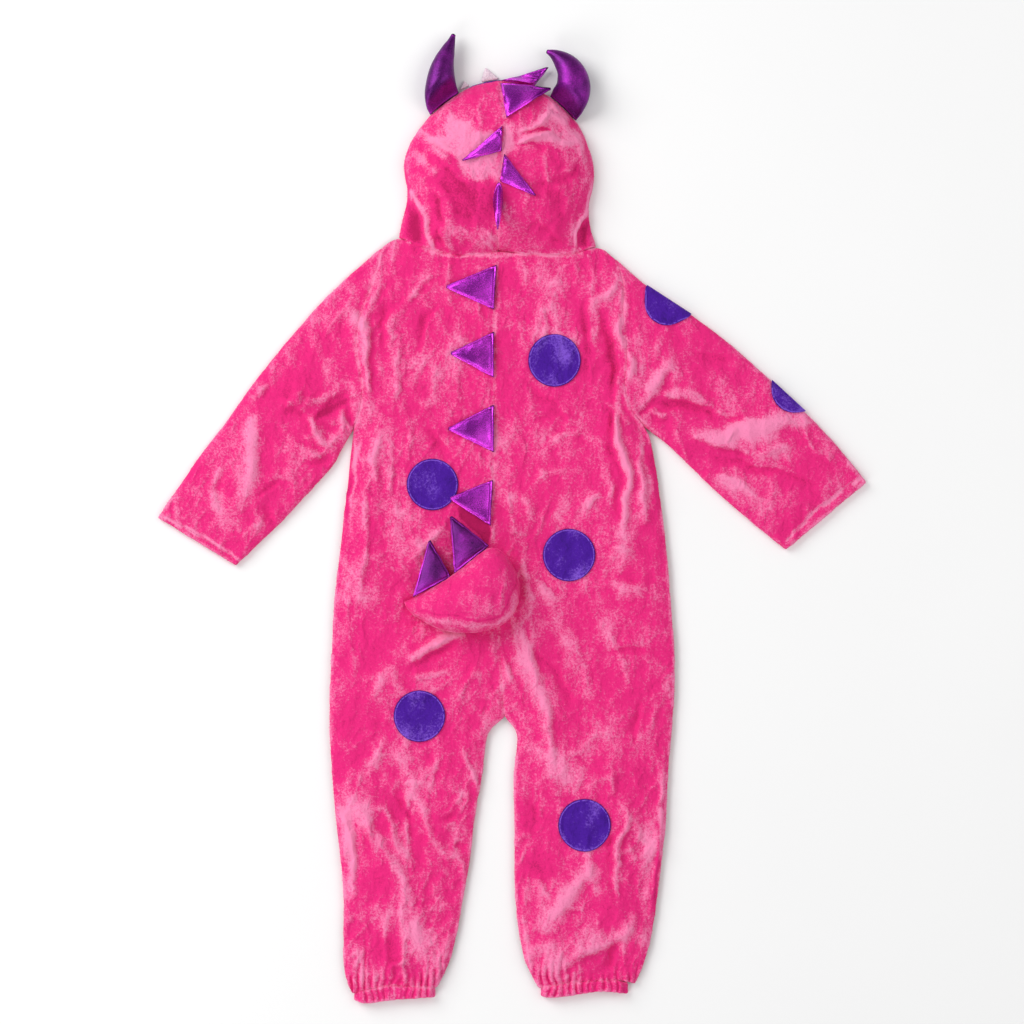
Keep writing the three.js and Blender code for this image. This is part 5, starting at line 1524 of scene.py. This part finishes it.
@dataclass(frozen=True)
class HemStitching:
    """Rows of short stitches a little way in from the sleeve hems."""

    rows: tuple[Path, ...] = (
        LEFT_HEM_ROW,
        RIGHT_HEM_ROW,
    )
    pitch: float = 3.4 * MM
    length: float = 2.4 * MM
    thread: float = 0.35 * MM

    def sew(self, cloth: LaidCloth, material: bpy.types.Material) -> None:
        """Sew the rows as one piece.

        Args:
            cloth: The cloth that is sewn through.
            material: The thread.
        """
        shape = bmesh.new()
        for row in self.rows:
            corners = np.asarray(row) * MM
            for start, end in zip(corners[:-1], corners[1:]):
                along = end - start
                reach = float(np.linalg.norm(along))
                along /= reach
                for step in range(int(reach / self.pitch)):
                    middle = start + along * (step + 0.5) * self.pitch
                    self.add_stitch(shape, cloth, middle, along)
        mesh = bpy.data.meshes.new("thread_sleeve_hems")
        shape.to_mesh(mesh)
        shape.free()
        mesh.materials.append(material)
        mesh.shade_smooth()
        piece = bpy.data.objects.new("thread_sleeve_hems", mesh)
        bpy.context.scene.collection.objects.link(piece)
        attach(piece, BODY)
        log.info("thread_sleeve_hems: %d points", len(mesh.vertices))

    def add_stitch(self, shape: bmesh.types.BMesh, cloth: LaidCloth, middle: np.ndarray, along: np.ndarray) -> None:
        """Add one stitch, its ends pulled into the cloth.

        Args:
            shape: The mesh to add to.
            cloth: The cloth that is sewn through.
            middle: The stitch's middle in plan.
            along: The direction of its row in plan.
        """
        rings = []
        for share in (-0.5, -0.3, 0.0, 0.3, 0.5):
            place = middle + along * share * self.length
            height = cloth.height(place[0], place[1], 0.006) + self.thread * (0.5 - 3 * share * share)
            thick = self.thread * (1 - 1.6 * share * share)
            ring = []
            for turn in range(6):
                angle = turn * math.tau / 6
                side = thick * math.cos(angle)
                ring.append(shape.verts.new(
                    (place[0] - along[1] * side, place[1] + along[0] * side, height + thick * math.sin(angle))
                ))
            rings.append(ring)
        for first, second in zip(rings[:-1], rings[1:]):
            for turn in range(6):
                shape.faces.new((first[turn], first[turn - 1], second[turn - 1], second[turn]))
        shape.faces.new(rings[0])
        shape.faces.new(rings[-1][::-1])


@dataclass(frozen=True)
class Studio:
    """The floor, the soft lights and a camera straight above."""

    height: float = 4.0
    focus: float = 0.008
    shown: float = 1.024
    centre_y: float = 0.007
    floor_size: float = 6.0
    floor_drop: float = 0.2 * MM
    sky: float = 0.43
    sensor: float = 36.0
    lights: tuple[tuple[str, Triple, float, float], ...] = (
        ("key_light", (-2.0, 1.4, 1.7), 1.9, 62),
        ("low_light", (-1.5, -1.9, 1.4), 1.4, 22),
        ("fill_light", (1.9, 0.2, 2.0), 2.0, 20),
    )

    def build(self, floor: bpy.types.Material) -> None:
        """Set up the studio.

        Args:
            floor: The floor's paper.
        """
        scene = bpy.context.scene
        scene.view_settings.view_transform = "Standard"
        bpy.ops.mesh.primitive_grid_add(x_subdivisions=8, y_subdivisions=8, size=self.floor_size)
        ground = bpy.context.object
        ground.name = "floor"
        ground.location.z = -self.floor_drop
        ground.data.materials.append(floor)
        for name, place, size, power in self.lights:
            self.light(name, place, size, power)
        world = bpy.data.worlds.new("studio")
        world.use_nodes = True
        glow = world.node_tree.nodes["Background"]
        glow.inputs["Color"].default_value = (1, 1, 1, 1)
        glow.inputs["Strength"].default_value = self.sky
        scene.world = world
        camera = bpy.data.cameras.new("camera")
        camera.sensor_width = self.sensor
        camera.lens = self.sensor * (self.height - self.focus) / self.shown
        camera.clip_end = 20
        holder = bpy.data.objects.new("camera", camera)
        holder.location = (0, self.centre_y, self.height)
        scene.collection.objects.link(holder)
        scene.camera = holder

    def light(self, name: str, place: Triple, size: float, power: float) -> None:
        """Hang one soft light that faces the garment.

        Args:
            name: The light's name.
            place: Where it hangs.
            size: The side of its square face.
            power: Its power in watts.
        """
        lamp = bpy.data.lights.new(name, "AREA")
        lamp.size = size
        lamp.energy = power
        holder = bpy.data.objects.new(name, lamp)
        holder.location = place
        holder.rotation_euler = Vector(place).to_track_quat("Z", "Y").to_euler()
        bpy.context.scene.collection.objects.link(holder)


def main() -> None:
    """Build the costume piece by piece, then the studio round it."""
    logging.basicConfig(level=logging.INFO, format="%(name)s: %(message)s")
    pink, indigo, foil, shaded_foil, felt = (
        finish.material() for finish in (PINK, INDIGO, SPIKE_FOIL, SHADED_FOIL, FeltFinish())
    )
    cloth = LaidCloth()
    Studio().build(FloorFinish().material())
    Body().build(cloth, pink)
    Sleeves().build(cloth, pink)
    AnkleCasings().build(pink)
    Dots().build(cloth, indigo)
    HemStitching().sew(cloth, ThreadFinish().material())
    Hood().build(cloth, pink, indigo, felt)
    FoilPieces().build(foil, shaded_foil)
    Tail().build(pink)
    Pile().grow("pile_fibres", cloth, pink)


if __name__ == "__main__":
    main()
